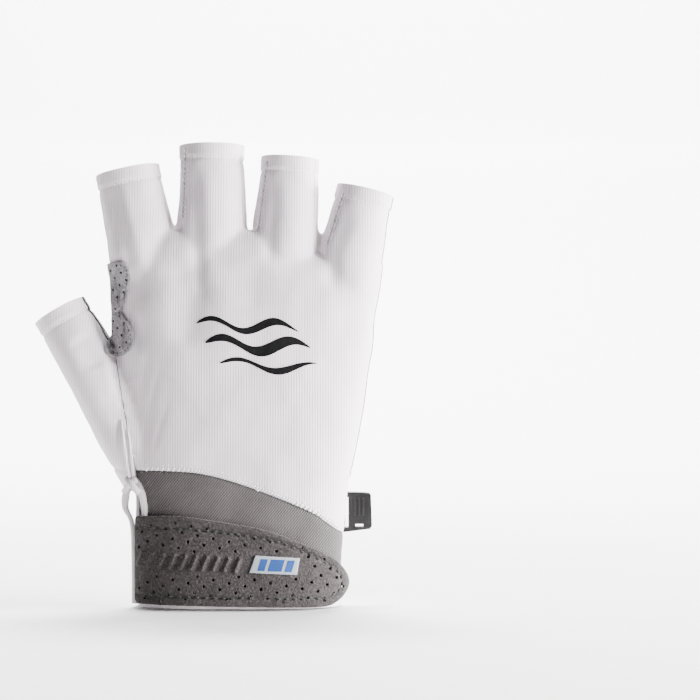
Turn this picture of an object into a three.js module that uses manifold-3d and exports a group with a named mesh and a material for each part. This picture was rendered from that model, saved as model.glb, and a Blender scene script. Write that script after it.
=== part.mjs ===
// A fingerless fishing glove for the right hand, in millimetres.
// +Z points up to the fingers, +X to the little finger and +Y from the back of the hand to the palm.
// The origin is the middle of the wrist opening, where a hand goes in.
// The glove is a thin hollow shell in the form of a hand, cut along its seams into sewn pieces.

import * as THREE from "three";
import { mergeVertices } from "three/addons/utils/BufferGeometryUtils.js";
import Module from "manifold-3d";

const wasm = await Module();
wasm.setup();

// Driving sizes of the hand form
const palmWidth = 104; // across the knuckles
const palmHeight = 144.5; // cuff edge to the crotch beside the middle finger
const palmDepth = 31; // back of the hand to the palm
const fingerWidth = 26; // a finger stall at its crotch
const fingerDepth = 21;
const fingerLength = 31.4; // crotch to hem on the middle finger
const fingerRootDrop = 30; // how far a stall's form runs down inside the hand
const fingerLean = 5; // degrees that the fingers lean towards the palm
const littleDrop = 9.5; // the little finger's crotch lies this much lower
const thumbWidth = 20;
const thumbDepth = 21;

// Driving sizes of the cloth
const knitWall = 1.2;
const suedeWall = 1.5;
const suedeProud = 0.3; // suede stands this much outside the knit
const seamGap = 0.3;
const tipHemHeight = 5; // folded hem at each finger opening
const tipHemProud = 0.35;
const cuffHemHeight = 6.5;
const cuffHemProud = 0.5;
const cuffHemWall = 2.4;
const stallSeamNear = 6.8; // half width of a side strip on the finger's thumb side
const stallSeamFar = 2.5; // and on its little finger side
const stripBelowCrotch = 4.5;

// Driving sizes of what is sewn on
const bindingDiameter = 2;
const patchWall = 1.3;
const patchReach = 6; // the crotch patch ends this far round on the palm side
const strapThickness = 1.4;
const strapStandOff = 1.6; // clear of the cuff at the front
const strapStandOffRoot = 1.4; // and at the thumb side, over the slit's binding
const strapStandOffSide = 2.4; // clear of the cuff at the little finger side
const hookThickness = 0.8;
const labelThickness = 0.6;
const tabThickness = 1.2;
const tabCurl = 2.2; // radius at which a pull tab folds over
const tabDrop = 8; // and how far it then hangs
const webbingWidth = 10;
const webbingThickness = 1.2;
const buckleWidth = 16;
const buckleLength = 14;
const buckleThickness = 6.2;
const buckleWall = 1.3;
const buckleHeight = 34.5; // middle of the buckle above the cuff edge
const buckleBar = 2; // bar that the webbing loops round
const buckleSlot = 2.6; // slot beside the bar

const bodySides = 40;
const fingerSides = 20;
const thumbSides = 24;
const squareness = 2.6; // superellipse power of the hand's sections
const stallSquareness = 2.2;
const reach = 120; // half size of the prisms that cut the panels
const above = 220;
const openEnd = 4; // how far a hollow runs out past its opening
const simplestStep = 0.025; // detail smaller than this is merged away
const halfWidth = palmWidth / 2;

// The hand's sections, as shares: up of palmHeight, left and right of half the palm's width,
// front and back of palmDepth, drop of littleDrop.
const handRows = [
  { up: 0.0, left: 0.768, right: 0.748, front: 0.58, back: 0.58, drop: 0 },
  { up: 0.14, left: 0.768, right: 0.752, front: 0.565, back: 0.574, drop: 0 },
  { up: 0.32, left: 0.779, right: 0.808, front: 0.516, back: 0.548, drop: 0 },
  { up: 0.484, left: 0.837, right: 0.894, front: 0.5, back: 0.565, drop: 0 },
  { up: 0.657, left: 0.912, right: 0.965, front: 0.484, back: 0.516, drop: 0 },
  { up: 0.775, left: 0.93, right: 1.004, front: 0.458, back: 0.468, drop: 0 },
  { up: 0.844, left: 0.935, right: 1.03, front: 0.413, back: 0.42, drop: 0.2 },
  { up: 0.913, left: 0.952, right: 1.05, front: 0.348, back: 0.355, drop: 0.6 },
  { up: 0.955, left: 0.98, right: 1.058, front: 0.3, back: 0.31, drop: 0.85 },
  { up: 0.983, left: 0.97, right: 1.048, front: 0.226, back: 0.242, drop: 1 },
  { up: 1.0, left: 0.942, right: 1.02, front: 0.11, back: 0.116, drop: 1 },
];

// The four finger stalls. Place at the crotch as shares of half the palm's width and of palmHeight;
// width, depth and length as shares of the named finger sizes; leans in degrees from upright.
const fingerRows = [
  { name: "index", across: -0.74, up: 0.994, wide: 0.99, tip: 0.908, deep: 0.99, length: 0.762, lean: -12, rootLean: -4 },
  { name: "middle", across: -0.208, up: 1.003, wide: 1.03, tip: 0.938, deep: 1.05, length: 1, lean: 0, rootLean: 0 },
  { name: "ring", across: 0.333, up: 0.976, wide: 0.992, tip: 0.838, deep: 1.01, length: 0.971, lean: 3.8, rootLean: 2.5 },
  { name: "little", across: 0.821, up: 0.941, wide: 0.946, tip: 0.8, deep: 0.92, length: 0.761, lean: 13.5, rootLean: 6.5 },
];

// The thumb stall from its root to its opening: toPalm as a share of palmDepth,
// half and deep as shares of the thumb's width and depth.
const thumbRows = [
  { across: -0.635, up: 0.332, toPalm: 0, half: 0.6, deep: 0.72 },
  { across: -0.788, up: 0.443, toPalm: 0.02, half: 0.65, deep: 0.72 },
  { across: -0.967, up: 0.554, toPalm: 0.05, half: 0.61, deep: 0.64 },
  { across: -1.158, up: 0.671, toPalm: 0.09, half: 0.57, deep: 0.56 },
  { across: -1.28, up: 0.7455, toPalm: 0.12, half: 0.525, deep: 0.5 },
  { across: -1.34, up: 0.782, toPalm: 0.135, half: 0.5, deep: 0.475 },
];

// Seams as seen from the back of the hand, as shares of half the palm's width and of palmHeight
const thumbSeam = [
  { across: -1.135, up: 0.87 },
  { across: -0.968, up: 0.722 },
  { across: -0.896, up: 0.682 },
  { across: -0.86, up: 0.655 },
  { across: -0.82, up: 0.545 },
  { across: -0.79, up: 0.46 },
  { across: -0.765, up: 0.36 },
  { across: -0.75, up: 0.3 },
  { across: -0.738, up: 0.2 },
  { across: -0.738, up: -0.05 },
];
const gussetSeam = [
  { across: -1.8, up: 0.36 },
  { across: -0.76, up: 0.359 },
  { across: -0.35, up: 0.355 },
  { across: -0.104, up: 0.338 },
  { across: 0.142, up: 0.309 },
  { across: 0.388, up: 0.273 },
  { across: 0.573, up: 0.242 },
  { across: 0.756, up: 0.194 },
  { across: 1.8, up: -0.05 },
];
const thenarSeam = [
  { across: -1.95, up: 0.55 },
  { across: -1.087, up: 0.4685 },
  { across: -0.946, up: 0.4325 },
  { across: -0.804, up: 0.387 },
  { across: -0.638, up: 0.315 },
  { across: -0.519, up: 0.242 },
  { across: -0.448, up: 0.17 },
  { across: -0.39, up: 0.048 },
  { across: -0.37, up: -0.05 },
];
const heelSeam = [
  { across: 1.8, up: 0.6 },
  { across: 1.0, up: 0.405 },
  { across: 0.86, up: 0.36 },
  { across: 0.76, up: 0.31 },
  { across: 0.567, up: 0.219 },
  { across: 0.331, up: 0.143 },
  { across: 0.094, up: 0.08 },
  { across: -0.012, up: 0.048 },
  { across: -0.06, up: -0.05 },
];
// The wrist slit's binding: up one side, round a small loop and down the other, under the strap
const slitRows = [
  { across: -0.79, toPalm: -0.07, up: 0.004 },
  { across: -0.792, toPalm: -0.08, up: 0.12 },
  { across: -0.8, toPalm: -0.1, up: 0.215 },
  { across: -0.842, toPalm: -0.12, up: 0.262 },
  { across: -0.82, toPalm: -0.16, up: 0.312 },
  { across: -0.762, toPalm: -0.225, up: 0.332 },
  { across: -0.71, toPalm: -0.3, up: 0.3 },
  { across: -0.682, toPalm: -0.32, up: 0.25 },
  { across: -0.69, toPalm: -0.32, up: 0.2 },
];
const slitInside = [
  { across: -0.79, up: -0.05 },
  { across: -0.79, up: 0.215 },
  { across: -0.835, up: 0.262 },
  { across: -0.81, up: 0.312 },
  { across: -0.762, up: 0.332 },
  { across: -0.71, up: 0.3 },
  { across: -0.682, up: 0.25 },
  { across: -0.69, up: 0.2 },
  { across: -0.735, up: 0.18 },
  { across: -0.735, up: -0.05 },
];
// Outlines of the sewn-on pieces, seen from the back of the hand
const strapOutline = [
  { across: -0.762, up: 0.24 },
  { across: -0.6, up: 0.242 },
  { across: -0.435, up: 0.243 },
  { across: -0.225, up: 0.234 },
  { across: 0.142, up: 0.212 },
  { across: 0.338, up: 0.19 },
  { across: 0.573, up: 0.154 },
  { across: 0.719, up: 0.123 },
  { across: 0.792, up: 0.088 },
  { across: 0.812, up: 0.061 },
  { across: 0.781, up: 0.039 },
  { across: 0.719, up: 0.02 },
  { across: 0.635, up: 0.009 },
  { across: 0.388, up: 0.01 },
  { across: -0.3, up: 0.014 },
  { across: -0.762, up: 0.016 },
];
const patchOutline = [
  { across: -1.02, up: 0.91 },
  { across: -0.873, up: 0.909 },
  { across: -0.817, up: 0.899 },
  { across: -0.813, up: 0.868 },
  { across: -0.838, up: 0.838 },
  { across: -0.878, up: 0.784 },
  { across: -0.83, up: 0.764 },
  { across: -0.788, up: 0.732 },
  { across: -0.796, up: 0.695 },
  { across: -0.83, up: 0.67 },
  { across: -0.915, up: 0.661 },
  { across: -1.0, up: 0.676 },
  { across: -1.02, up: 0.705 },
  { across: -0.994, up: 0.73 },
  { across: -1.012, up: 0.762 },
  { across: -1.04, up: 0.82 },
];
const labelOutline = [
  { across: 0.087, up: 0.097 },
  { across: 0.431, up: 0.09 },
  { across: 0.452, up: 0.134 },
  { across: 0.131, up: 0.142 },
];

// Materials
const material = (color, roughness) => new THREE.MeshStandardMaterial({ color, roughness, metalness: 0 });
const whiteKnit = material(0xece9ec, 0.85);
const greySuede = material(0x77767a, 0.95);
const greyTwill = material(0x7d7a7d, 0.9);
const whiteLabel = material(0xd9dde6, 0.6);
const blackHook = material(0x1d1d1e, 0.95);
const blackWebbing = material(0x2b2a2c, 0.8);
const blackPlastic = material(0x1b1b1c, 0.4);

const degrees = Math.PI / 180;
const place = (row) => [row.across * halfWidth, row.up * palmHeight];
const superPower = (value, power) => (Math.abs(value) < 1e-9 ? 0 : Math.sign(value) * Math.abs(value) ** (2 / power));

// A closed three.js geometry as a solid that can be joined and cut
function solidOf(geometry) {
  geometry.deleteAttribute("normal");
  geometry.deleteAttribute("uv");
  const merged = mergeVertices(geometry, 1e-4);
  return new wasm.Manifold(
    new wasm.Mesh({
      numProp: 3,
      vertProperties: new Float32Array(merged.attributes.position.array),
      triVerts: new Uint32Array(merged.index.array),
    }),
  );
}

// The solid's biggest body: a cut along a curved seam can leave a crumb beside it
function biggest(solid) {
  return solid.decompose().reduce((best, body) => (body.volume() > best.volume() ? body : best));
}

// A named mesh from a solid
function meshOf(name, solid, look) {
  const made = biggest(solid.simplify(simplestStep)).getMesh();
  const geometry = new THREE.BufferGeometry();
  geometry.setAttribute("position", new THREE.BufferAttribute(new Float32Array(made.vertProperties), 3));
  geometry.setIndex(new THREE.BufferAttribute(new Uint32Array(made.triVerts), 1));
  const mesh = new THREE.Mesh(geometry.toNonIndexed(), look);
  mesh.geometry.computeVertexNormals();
  mesh.name = name;
  return mesh;
}

// A closed loft: a capped cylinder whose rings are laid on the sections, the first at the bottom
function loft(sections, sides, power) {
  const geometry = new THREE.CylinderGeometry(1, 1, 1, sides, sections.length - 1);
  const position = geometry.attributes.position;
  const point = new THREE.Vector3();
  for (let i = 0; i < position.count; i++) {
    const ring = Math.round((position.getY(i) + 0.5) * (sections.length - 1));
    const { centre, across, front, back } = sections[ring];
    const forward = superPower(position.getZ(i), power);
    point
      .copy(centre)
      .addScaledVector(across, superPower(position.getX(i), power))
      .addScaledVector(forward > 0 ? front : back, Math.abs(forward));
    position.setXYZ(i, point.x, point.y, point.z);
  }
  return geometry;
}

// A straight-sided cutter with an outline seen from the back of the hand, between two depths
function prism(outline, from, to) {
  const shape = new THREE.Shape(outline.map(([x, z]) => new THREE.Vector2(x, z)));
  const geometry = new THREE.ExtrudeGeometry(shape, { depth: to - from, bevelEnabled: false });
  geometry.rotateX(Math.PI / 2);
  geometry.translate(0, to, 0);
  return solidOf(geometry);
}

// Points on a smooth curve through a table's rows
function curvePoints(rows, steps) {
  const curve = new THREE.SplineCurve(rows.map((row) => new THREE.Vector2(...place(row))));
  return curve.getPoints(steps).map((point) => [point.x, point.y]);
}

// A line of points moved to its right-hand side by a distance
function moveRight(points, distance) {
  return points.map(([x, z], i) => {
    const [x0, z0] = points[Math.max(i - 1, 0)];
    const [x1, z1] = points[Math.min(i + 1, points.length - 1)];
    const length = Math.hypot(x1 - x0, z1 - z0);
    return [x + ((z1 - z0) / length) * distance, z - ((x1 - x0) / length) * distance];
  });
}

// Everything on one side of a seam: the seam's line, moved by a distance, closed round far corners
function sideOf(rows, moved, corners) {
  return prism([...moveRight(curvePoints(rows, 44), moved), ...corners], -reach, reach);
}

// A block between two corners
function block(low, high) {
  const size = new THREE.Vector3().subVectors(high, low);
  const geometry = new THREE.BoxGeometry(size.x, size.y, size.z);
  geometry.translate((low.x + high.x) / 2, (low.y + high.y) / 2, (low.z + high.z) / 2);
  return solidOf(geometry);
}

// The hand's section at a row, grown outwards by a distance on each side
function handSection(row, grow) {
  const left = -row.left * halfWidth - grow.left;
  const right = row.right * halfWidth + grow.right;
  return {
    centre: new THREE.Vector3((left + right) / 2, 0, row.up * palmHeight + (grow.up ?? 0)),
    across: new THREE.Vector3((right - left) / 2, 0, 0),
    front: new THREE.Vector3(0, -row.front * palmDepth - grow.front, 0),
    back: new THREE.Vector3(0, row.back * palmDepth + grow.back, 0),
  };
}

const grownBy = (distance) => ({ left: distance, right: distance, front: distance, back: distance });

// The palm and cuff as one closed form, lower at the little finger's crotch. An open form runs out below the cuff.
function handForm(grow, isHollow) {
  const grown = grownBy(grow);
  const sections = handRows.map((row, i) => {
    const isTop = i > handRows.length - 5;
    return handSection(row, { ...grown, up: isTop ? grow : 0 });
  });
  const drops = handRows.map((row) => row.drop);
  if (isHollow) {
    sections.unshift({ ...sections[0], centre: sections[0].centre.clone().setZ(-openEnd) });
    drops.unshift(0);
  }
  const dropStart = 0.16 * halfWidth;
  const dropEnd = 0.58 * halfWidth;
  const geometry = loft(sections, bodySides, squareness);
  const flat = new THREE.CylinderGeometry(1, 1, 1, bodySides, sections.length - 1).attributes.position;
  const position = geometry.attributes.position;
  for (let i = 0; i < position.count; i++) {
    const ring = Math.round((flat.getY(i) + 0.5) * (sections.length - 1));
    const share = THREE.MathUtils.smoothstep(position.getX(i), dropStart, dropEnd);
    position.setZ(i, position.getZ(i) - littleDrop * drops[ring] * share);
  }
  return solidOf(geometry);
}

// Rings along a stall's centre line, square to it, each with its half width and half depth
function stallSections(rings) {
  return rings.map(({ centre, half, deep }, i) => {
    const before = rings[Math.max(i - 1, 0)].centre;
    const after = rings[Math.min(i + 1, rings.length - 1)].centre;
    const along = new THREE.Vector3().subVectors(after, before).normalize();
    const across = new THREE.Vector3(0, 1, 0).cross(along).normalize();
    const back = new THREE.Vector3().crossVectors(along, across);
    return {
      centre,
      across: across.multiplyScalar(half),
      front: back.clone().multiplyScalar(-deep),
      back: back.multiplyScalar(deep),
    };
  });
}

// A point above the hand's bend leans towards the palm with the fingers
const bendHeight = 0.9 * palmHeight;
const leanAt = (z) => Math.max(z - bendHeight, 0) * Math.tan(fingerLean * degrees);

function onFingerAxis(finger, distance) {
  const lean = (distance > 0 ? finger.lean : finger.rootLean) * degrees;
  const [x, z] = place(finger);
  const height = z + Math.cos(lean) * distance;
  return new THREE.Vector3(x + Math.sin(lean) * distance, (height - bendHeight) * Math.tan(fingerLean * degrees), height);
}

// One finger stall's form, grown by a distance, with its folded hem. An open form runs out past the hem.
function fingerForm(finger, grow, isHollow) {
  const length = finger.length * fingerLength;
  const wide = (finger.wide * fingerWidth) / 2;
  const tip = (finger.tip * fingerWidth) / 2;
  const deep = (finger.deep * fingerDepth) / 2;
  const hemStart = length - tipHemHeight;
  const hemStep = isHollow ? 0 : tipHemProud;
  const ring = (distance, half, depth) => ({
    centre: onFingerAxis(finger, distance),
    half: half + grow,
    deep: depth + grow,
  });
  const rings = [
    ring(-fingerRootDrop, wide * 0.7, deep * 0.78),
    ring(-fingerRootDrop / 2, wide * 0.93, deep * 1.01),
    ring(0, wide, deep),
    ring(hemStart * 0.5, (wide + tip) / 2, deep * 0.955),
    ring(hemStart, tip, deep * 0.92),
    ring(hemStart + 0.6, tip + hemStep, deep * 0.92 + hemStep),
    ring(length, tip + hemStep, deep * 0.91 + hemStep),
  ];
  if (isHollow) rings.push(ring(length + openEnd, tip, deep * 0.91));
  return solidOf(loft(stallSections(rings), fingerSides, stallSquareness));
}

// The thumb stall's form, grown by a distance, with its folded hem
function thumbForm(grow, isHollow) {
  const hemStep = isHollow ? 0 : tipHemProud;
  const rings = thumbRows.map((row, i) => {
    const [x, z] = place(row);
    const step = i > thumbRows.length - 3 ? hemStep : 0;
    return {
      centre: new THREE.Vector3(x, row.toPalm * palmDepth, z),
      half: row.half * thumbWidth + grow + step,
      deep: row.deep * thumbDepth + grow + step,
    };
  });
  if (isHollow) {
    const end = rings[rings.length - 1];
    const along = new THREE.Vector3().subVectors(end.centre, rings[rings.length - 2].centre).normalize();
    rings.push({ ...end, centre: end.centre.clone().addScaledVector(along, openEnd) });
  }
  return solidOf(loft(stallSections(rings), thumbSides, stallSquareness));
}

// The whole glove's form, and a shell between two such forms, open at the wrist and at every finger
function gloveForm(grow, isHollow) {
  const fingers = fingerRows.map((finger) => fingerForm(finger, grow, isHollow));
  return fingers.reduce((form, finger) => form.add(finger), handForm(grow, isHollow).add(thumbForm(grow, isHollow)));
}
const shell = (outer, inner) => gloveForm(outer, false).subtract(gloveForm(inner, true));

const knitShell = shell(0, -knitWall);
const suedeShell = shell(suedeProud, suedeProud - suedeWall);

// Which side of the side seam a point is on: a profile seen from the side, bent with the fingers
function seamHalf(profile, side, gap) {
  const line = profile.map(([y, z]) => new THREE.Vector2(y + side * gap, z));
  const shape = new THREE.Shape([...line, new THREE.Vector2(side * reach, above), new THREE.Vector2(side * reach, -openEnd * 2)]);
  const geometry = new THREE.ExtrudeGeometry(shape, { depth: 2 * reach, bevelEnabled: false });
  geometry.applyMatrix4(new THREE.Matrix4().set(0, 0, 1, -reach, 1, 0, 0, 0, 0, 1, 0, 0, 0, 0, 0, 1));
  return solidOf(geometry);
}
const handProfile = [
  [0, -openEnd * 2],
  [0, bendHeight],
  [leanAt(above), above],
];
const thumbRoot = thumbRows[0];
const thumbTip = thumbRows[thumbRows.length - 1];
const thumbProfile = [
  [0, -openEnd * 2],
  [0, (thumbRoot.up - 0.05) * palmHeight],
  [thumbTip.toPalm * palmDepth, thumbTip.up * palmHeight],
  [thumbTip.toPalm * palmDepth * 2, above],
];
const FRONT = -1;
const BACK = 1;
const halfGap = seamGap / 2;
const handFront = seamHalf(handProfile, FRONT, halfGap);
const handBack = seamHalf(handProfile, BACK, halfGap);
const thumbFront = seamHalf(thumbProfile, FRONT, halfGap);
const thumbBack = seamHalf(thumbProfile, BACK, halfGap);

// Sides of the seams that show on the back of the hand and on the palm
const low = -0.05 * palmHeight;
const farRight = [[reach, low], [reach, above]];
const rightOfThumbSeam = (moved) => sideOf(thumbSeam, moved, [...farRight, [-1.135 * halfWidth, above]]);
const leftOfThumbSeam = (moved) => sideOf(thumbSeam, moved, [[-reach, low], [-reach, above], [-1.135 * halfWidth, above]]);
const aboveGussetSeam = sideOf(gussetSeam, -halfGap, [[1.8 * halfWidth, above], [-1.8 * halfWidth, above]]);
const belowGussetSeam = sideOf(gussetSeam, halfGap, [[-1.8 * halfWidth, low]]);
const aboveThenarSeam = sideOf(thenarSeam, -halfGap, [...farRight, [-1.95 * halfWidth, above]]);
const belowThenarSeam = sideOf(thenarSeam, halfGap, [[-1.95 * halfWidth, low]]);
const aboveHeelSeam = sideOf(heelSeam, halfGap, [[-reach, low], [-reach, above], [1.8 * halfWidth, above]]);
const belowHeelSeam = sideOf(heelSeam, -halfGap, [[reach, low], [reach, 0.6 * palmHeight]]);
const behindSideSeam = -1; // a panel that goes round the side starts this far in front of it
const wrapBack = block(new THREE.Vector3(-reach, behindSideSeam, -openEnd), new THREE.Vector3(reach, reach, above));
const gussetFront = block(
  new THREE.Vector3(-reach, -reach, -openEnd),
  new THREE.Vector3(reach, behindSideSeam - seamGap, above),
);
const aboveHem = block(
  new THREE.Vector3(-reach, -reach, cuffHemHeight + seamGap),
  new THREE.Vector3(reach, reach, above),
);

// The wrist slit and the cord-like binding round it
const slitCurve = new THREE.CatmullRomCurve3(
  slitRows.map((row) => new THREE.Vector3(row.across * halfWidth, row.toPalm * palmDepth, row.up * palmHeight)),
);
function bindingForm(diameter, steps) {
  const ring = new THREE.Shape();
  ring.absarc(0, 0, diameter / 2, 0, 2 * Math.PI);
  const geometry = new THREE.ExtrudeGeometry(ring, { steps, curveSegments: 5, extrudePath: slitCurve });
  return solidOf(geometry);
}
const slitBinding = bindingForm(bindingDiameter, 28);
const slitVoid = prism(slitInside.map(place), -reach, 0).add(bindingForm(bindingDiameter + 2 * seamGap, 28));

// The strips between two fingers, seen from above: wider on the side towards the thumb
function stripCutter(index, grow) {
  const from = fingerRows[index];
  const to = fingerRows[index + 1];
  const [x0] = place(from);
  const [x1] = place(to);
  const crotch = Math.min(from.up, to.up) * palmHeight;
  const far = stallSeamFar + grow;
  const near = stallSeamNear + grow;
  const edge = x1 - to.tip * fingerWidth * 0.5;
  const taper = (x0 + edge) / 2;
  const half = [[x0, far], [taper, far + 0.6], [edge, near], [x1, near]];
  const outline = [...half.map(([x, y]) => [x, -y]), ...half.reverse()];
  const shape = new THREE.Shape(outline.map(([x, y]) => new THREE.Vector2(x, y)));
  const geometry = new THREE.ExtrudeGeometry(shape, { depth: above, bevelEnabled: false });
  geometry.translate(0, 0, crotch - stripBelowCrotch - grow - bendHeight);
  geometry.rotateX(-fingerLean * degrees);
  geometry.translate(0, 0, bendHeight);
  return solidOf(geometry);
}
const gaps = [0, 1, 2];
const strips = gaps.map((index) => stripCutter(index, 0));
const allStrips = gaps.map((index) => stripCutter(index, seamGap)).reduce((all, strip) => all.add(strip));

// A pull tab: it leaves the finger's opening on the palm side, folds over and hangs down outside
function pullTab(finger) {
  const length = finger.length * fingerLength;
  const deep = (finger.deep * fingerDepth * 0.91) / 2;
  const half = finger.tip * fingerWidth * 0.5;
  const tipPoint = onFingerAxis(finger, length);
  const wallMiddle = deep + suedeProud - suedeWall / 2;
  const start = tipHemHeight * 0.6;
  const foldHeight = -tabCurl;
  const path = [
    [wallMiddle, -start, 0.56],
    [wallMiddle, foldHeight, 0.56],
    ...[45, 90, 135].map((angle) => [
      wallMiddle + tabCurl * (1 - Math.cos(angle * degrees)),
      foldHeight + tabCurl * Math.sin(angle * degrees),
      0.56 - angle / 3000,
    ]),
    [wallMiddle + 2 * tabCurl, foldHeight, 0.5],
    [wallMiddle + 2 * tabCurl + 0.6, foldHeight - tabDrop * 0.6, 0.42],
    [wallMiddle + 2 * tabCurl + 1.4, foldHeight - tabDrop, 0.34],
  ];
  const sections = path.map(([y, z, share], i) => {
    const [y0, z0] = path[Math.max(i - 1, 0)];
    const [y1, z1] = path[Math.min(i + 1, path.length - 1)];
    const along = new THREE.Vector2(y1 - y0, z1 - z0).normalize();
    const thick = new THREE.Vector3(0, along.y, -along.x).multiplyScalar(tabThickness / 2);
    return {
      centre: new THREE.Vector3(tipPoint.x, tipPoint.y + y, tipPoint.z + z),
      across: new THREE.Vector3(share * 1.4 * half, 0, 0),
      front: thick.clone().negate(),
      back: thick,
    };
  });
  return solidOf(loft(sections, 12, 8));
}

// Sewn pieces of the shell
const backPanel = knitShell
  .intersect(handFront)
  .intersect(rightOfThumbSeam(-halfGap))
  .intersect(aboveGussetSeam)
  .add(knitShell.intersect(wrapBack).intersect(belowHeelSeam))
  .intersect(aboveHem)
  .subtract(allStrips);
const palmPanel = suedeShell
  .intersect(handBack)
  .intersect(rightOfThumbSeam(0))
  .add(suedeShell.intersect(thumbBack).intersect(leftOfThumbSeam(-seamGap)))
  .intersect(aboveThenarSeam)
  .intersect(aboveHeelSeam)
  .intersect(aboveHem)
  .subtract(allStrips);
const thumbPiece = knitShell
  .intersect(thumbFront)
  .intersect(leftOfThumbSeam(halfGap))
  .add(knitShell.intersect(wrapBack).intersect(belowThenarSeam))
  .intersect(aboveHem)
  .subtract(slitVoid);
const gusset = knitShell
  .intersect(gussetFront)
  .intersect(rightOfThumbSeam(-halfGap))
  .intersect(belowGussetSeam)
  .intersect(aboveHem)
  .subtract(slitVoid);

// The cuff's lower sections, for what goes round it
function cuffForm(grow, from, to) {
  const rows = handRows.slice(0, 4);
  const sections = rows.map((row) => handSection(row, grow));
  sections.unshift({ ...sections[0], centre: sections[0].centre.clone().setZ(from) });
  return solidOf(loft(sections, bodySides, squareness)).intersect(
    block(new THREE.Vector3(-reach, -reach, from), new THREE.Vector3(reach, reach, to)),
  );
}
const cuffHem = cuffForm(grownBy(cuffHemProud), 0, cuffHemHeight)
  .subtract(cuffForm(grownBy(cuffHemProud - cuffHemWall), -openEnd, cuffHemHeight + openEnd))
  .subtract(slitVoid);

// The closing strap lies over the slit and stands off the cuff at its free end
const strapGrow = (extra) => ({
  left: strapStandOffRoot + extra,
  right: strapStandOffSide + extra,
  front: strapStandOff + extra,
  back: 0,
});
const strapTop = 0.3 * palmHeight;
const strapLayer = (inside, outside) =>
  cuffForm(strapGrow(outside), -openEnd, strapTop).subtract(cuffForm(strapGrow(inside), -2 * openEnd, strapTop + openEnd));
const strapEnd = (slitRows[1].toPalm * palmDepth) - bindingDiameter / 2 - seamGap;
const strapOutlineCurve = new THREE.SplineCurve(strapOutline.map((row) => new THREE.Vector2(...place(row))));
const strapPrism = prism(
  strapOutlineCurve.getPoints(52).map((point) => [point.x, point.y]),
  -reach,
  strapEnd,
);
const strap = strapLayer(0, strapThickness).intersect(strapPrism);
const hookInset = 0.06;
const hookPrism = prism(
  strapOutlineCurve
    .getPoints(52)
    .map((point) => [point.x - hookInset * halfWidth * 0.5, point.y])
    .filter(([x]) => x > 0.1 * halfWidth)
    .map(([x, z]) => [x, THREE.MathUtils.clamp(z, 0.055 * palmHeight, 0.2 * palmHeight)]),
  -reach,
  strapEnd,
);
const hookOutside = -seamGap;
const hookPatch = strapLayer(hookOutside - hookThickness, hookOutside).intersect(hookPrism);
const label = strapLayer(strapThickness + seamGap, strapThickness + seamGap + labelThickness).intersect(
  prism(labelOutline.map(place), -reach, 0),
);

// The suede patch over the thumb's crotch, round the edge of the hand
const patchInside = suedeProud + seamGap;
const patchCurve = new THREE.SplineCurve([...patchOutline, patchOutline[0]].map((row) => new THREE.Vector2(...place(row))));
const crotchPatch = gloveForm(patchInside + patchWall, false)
  .subtract(gloveForm(patchInside, true))
  .intersect(
    prism(
      patchCurve.getPoints(48).map((point) => [point.x, point.y]),
      -reach,
      patchReach,
    ),
  );

// The buckle's socket and the webbing loop that holds it behind the little finger side of the cuff
const cuffSide = 0.8 * halfWidth;
const buckleBack = 0.385 * palmDepth;
const buckleCentre = new THREE.Vector3(cuffSide + buckleLength * 0.17, buckleBack + buckleThickness / 2, buckleHeight);
function buckleBlock(x0, x1, thickness, width) {
  return block(
    new THREE.Vector3(buckleCentre.x + x0, buckleCentre.y - thickness / 2, buckleCentre.z - width / 2),
    new THREE.Vector3(buckleCentre.x + x1, buckleCentre.y + thickness / 2, buckleCentre.z + width / 2),
  );
}
const mouth = buckleLength / 2;
const bodyStart = -mouth + buckleBar + buckleSlot;
const socketOutline = [
  [-mouth, -buckleWidth * 0.4],
  [bodyStart, -buckleWidth * 0.42],
  [bodyStart + 1.5, -buckleWidth / 2],
  [mouth, -buckleWidth * 0.46],
  [mouth, buckleWidth * 0.46],
  [bodyStart + 1.5, buckleWidth / 2],
  [bodyStart, buckleWidth * 0.42],
  [-mouth, buckleWidth * 0.4],
].map(([x, z]) => [buckleCentre.x + x, buckleCentre.z + z]);
const socketBody = prism(socketOutline, buckleCentre.y - buckleThickness / 2, buckleCentre.y + buckleThickness / 2);
const windowLength = 3.2;
const windowHeight = 1.2;
const socket = socketBody
  .subtract(buckleBlock(bodyStart + buckleWall, mouth + 1, buckleThickness - 2 * buckleWall, buckleWidth - 3.2 * buckleWall))
  .subtract(buckleBlock(bodyStart + buckleWall * 2, mouth - 3.5, buckleThickness - 2 * buckleWall, buckleWidth + 2))
  .subtract(buckleBlock(-mouth - 1, bodyStart, buckleThickness + 2, webbingWidth + 0.8))
  .subtract(
    buckleBlock(0.5, 0.5 + windowLength, buckleThickness + 2, windowHeight).translate(
      0,
      0,
      windowHeight - buckleWidth * 0.37,
    ),
  )
  .add(buckleBlock(-mouth, -mouth + buckleBar, buckleBar, buckleWidth * 0.8));

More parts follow.
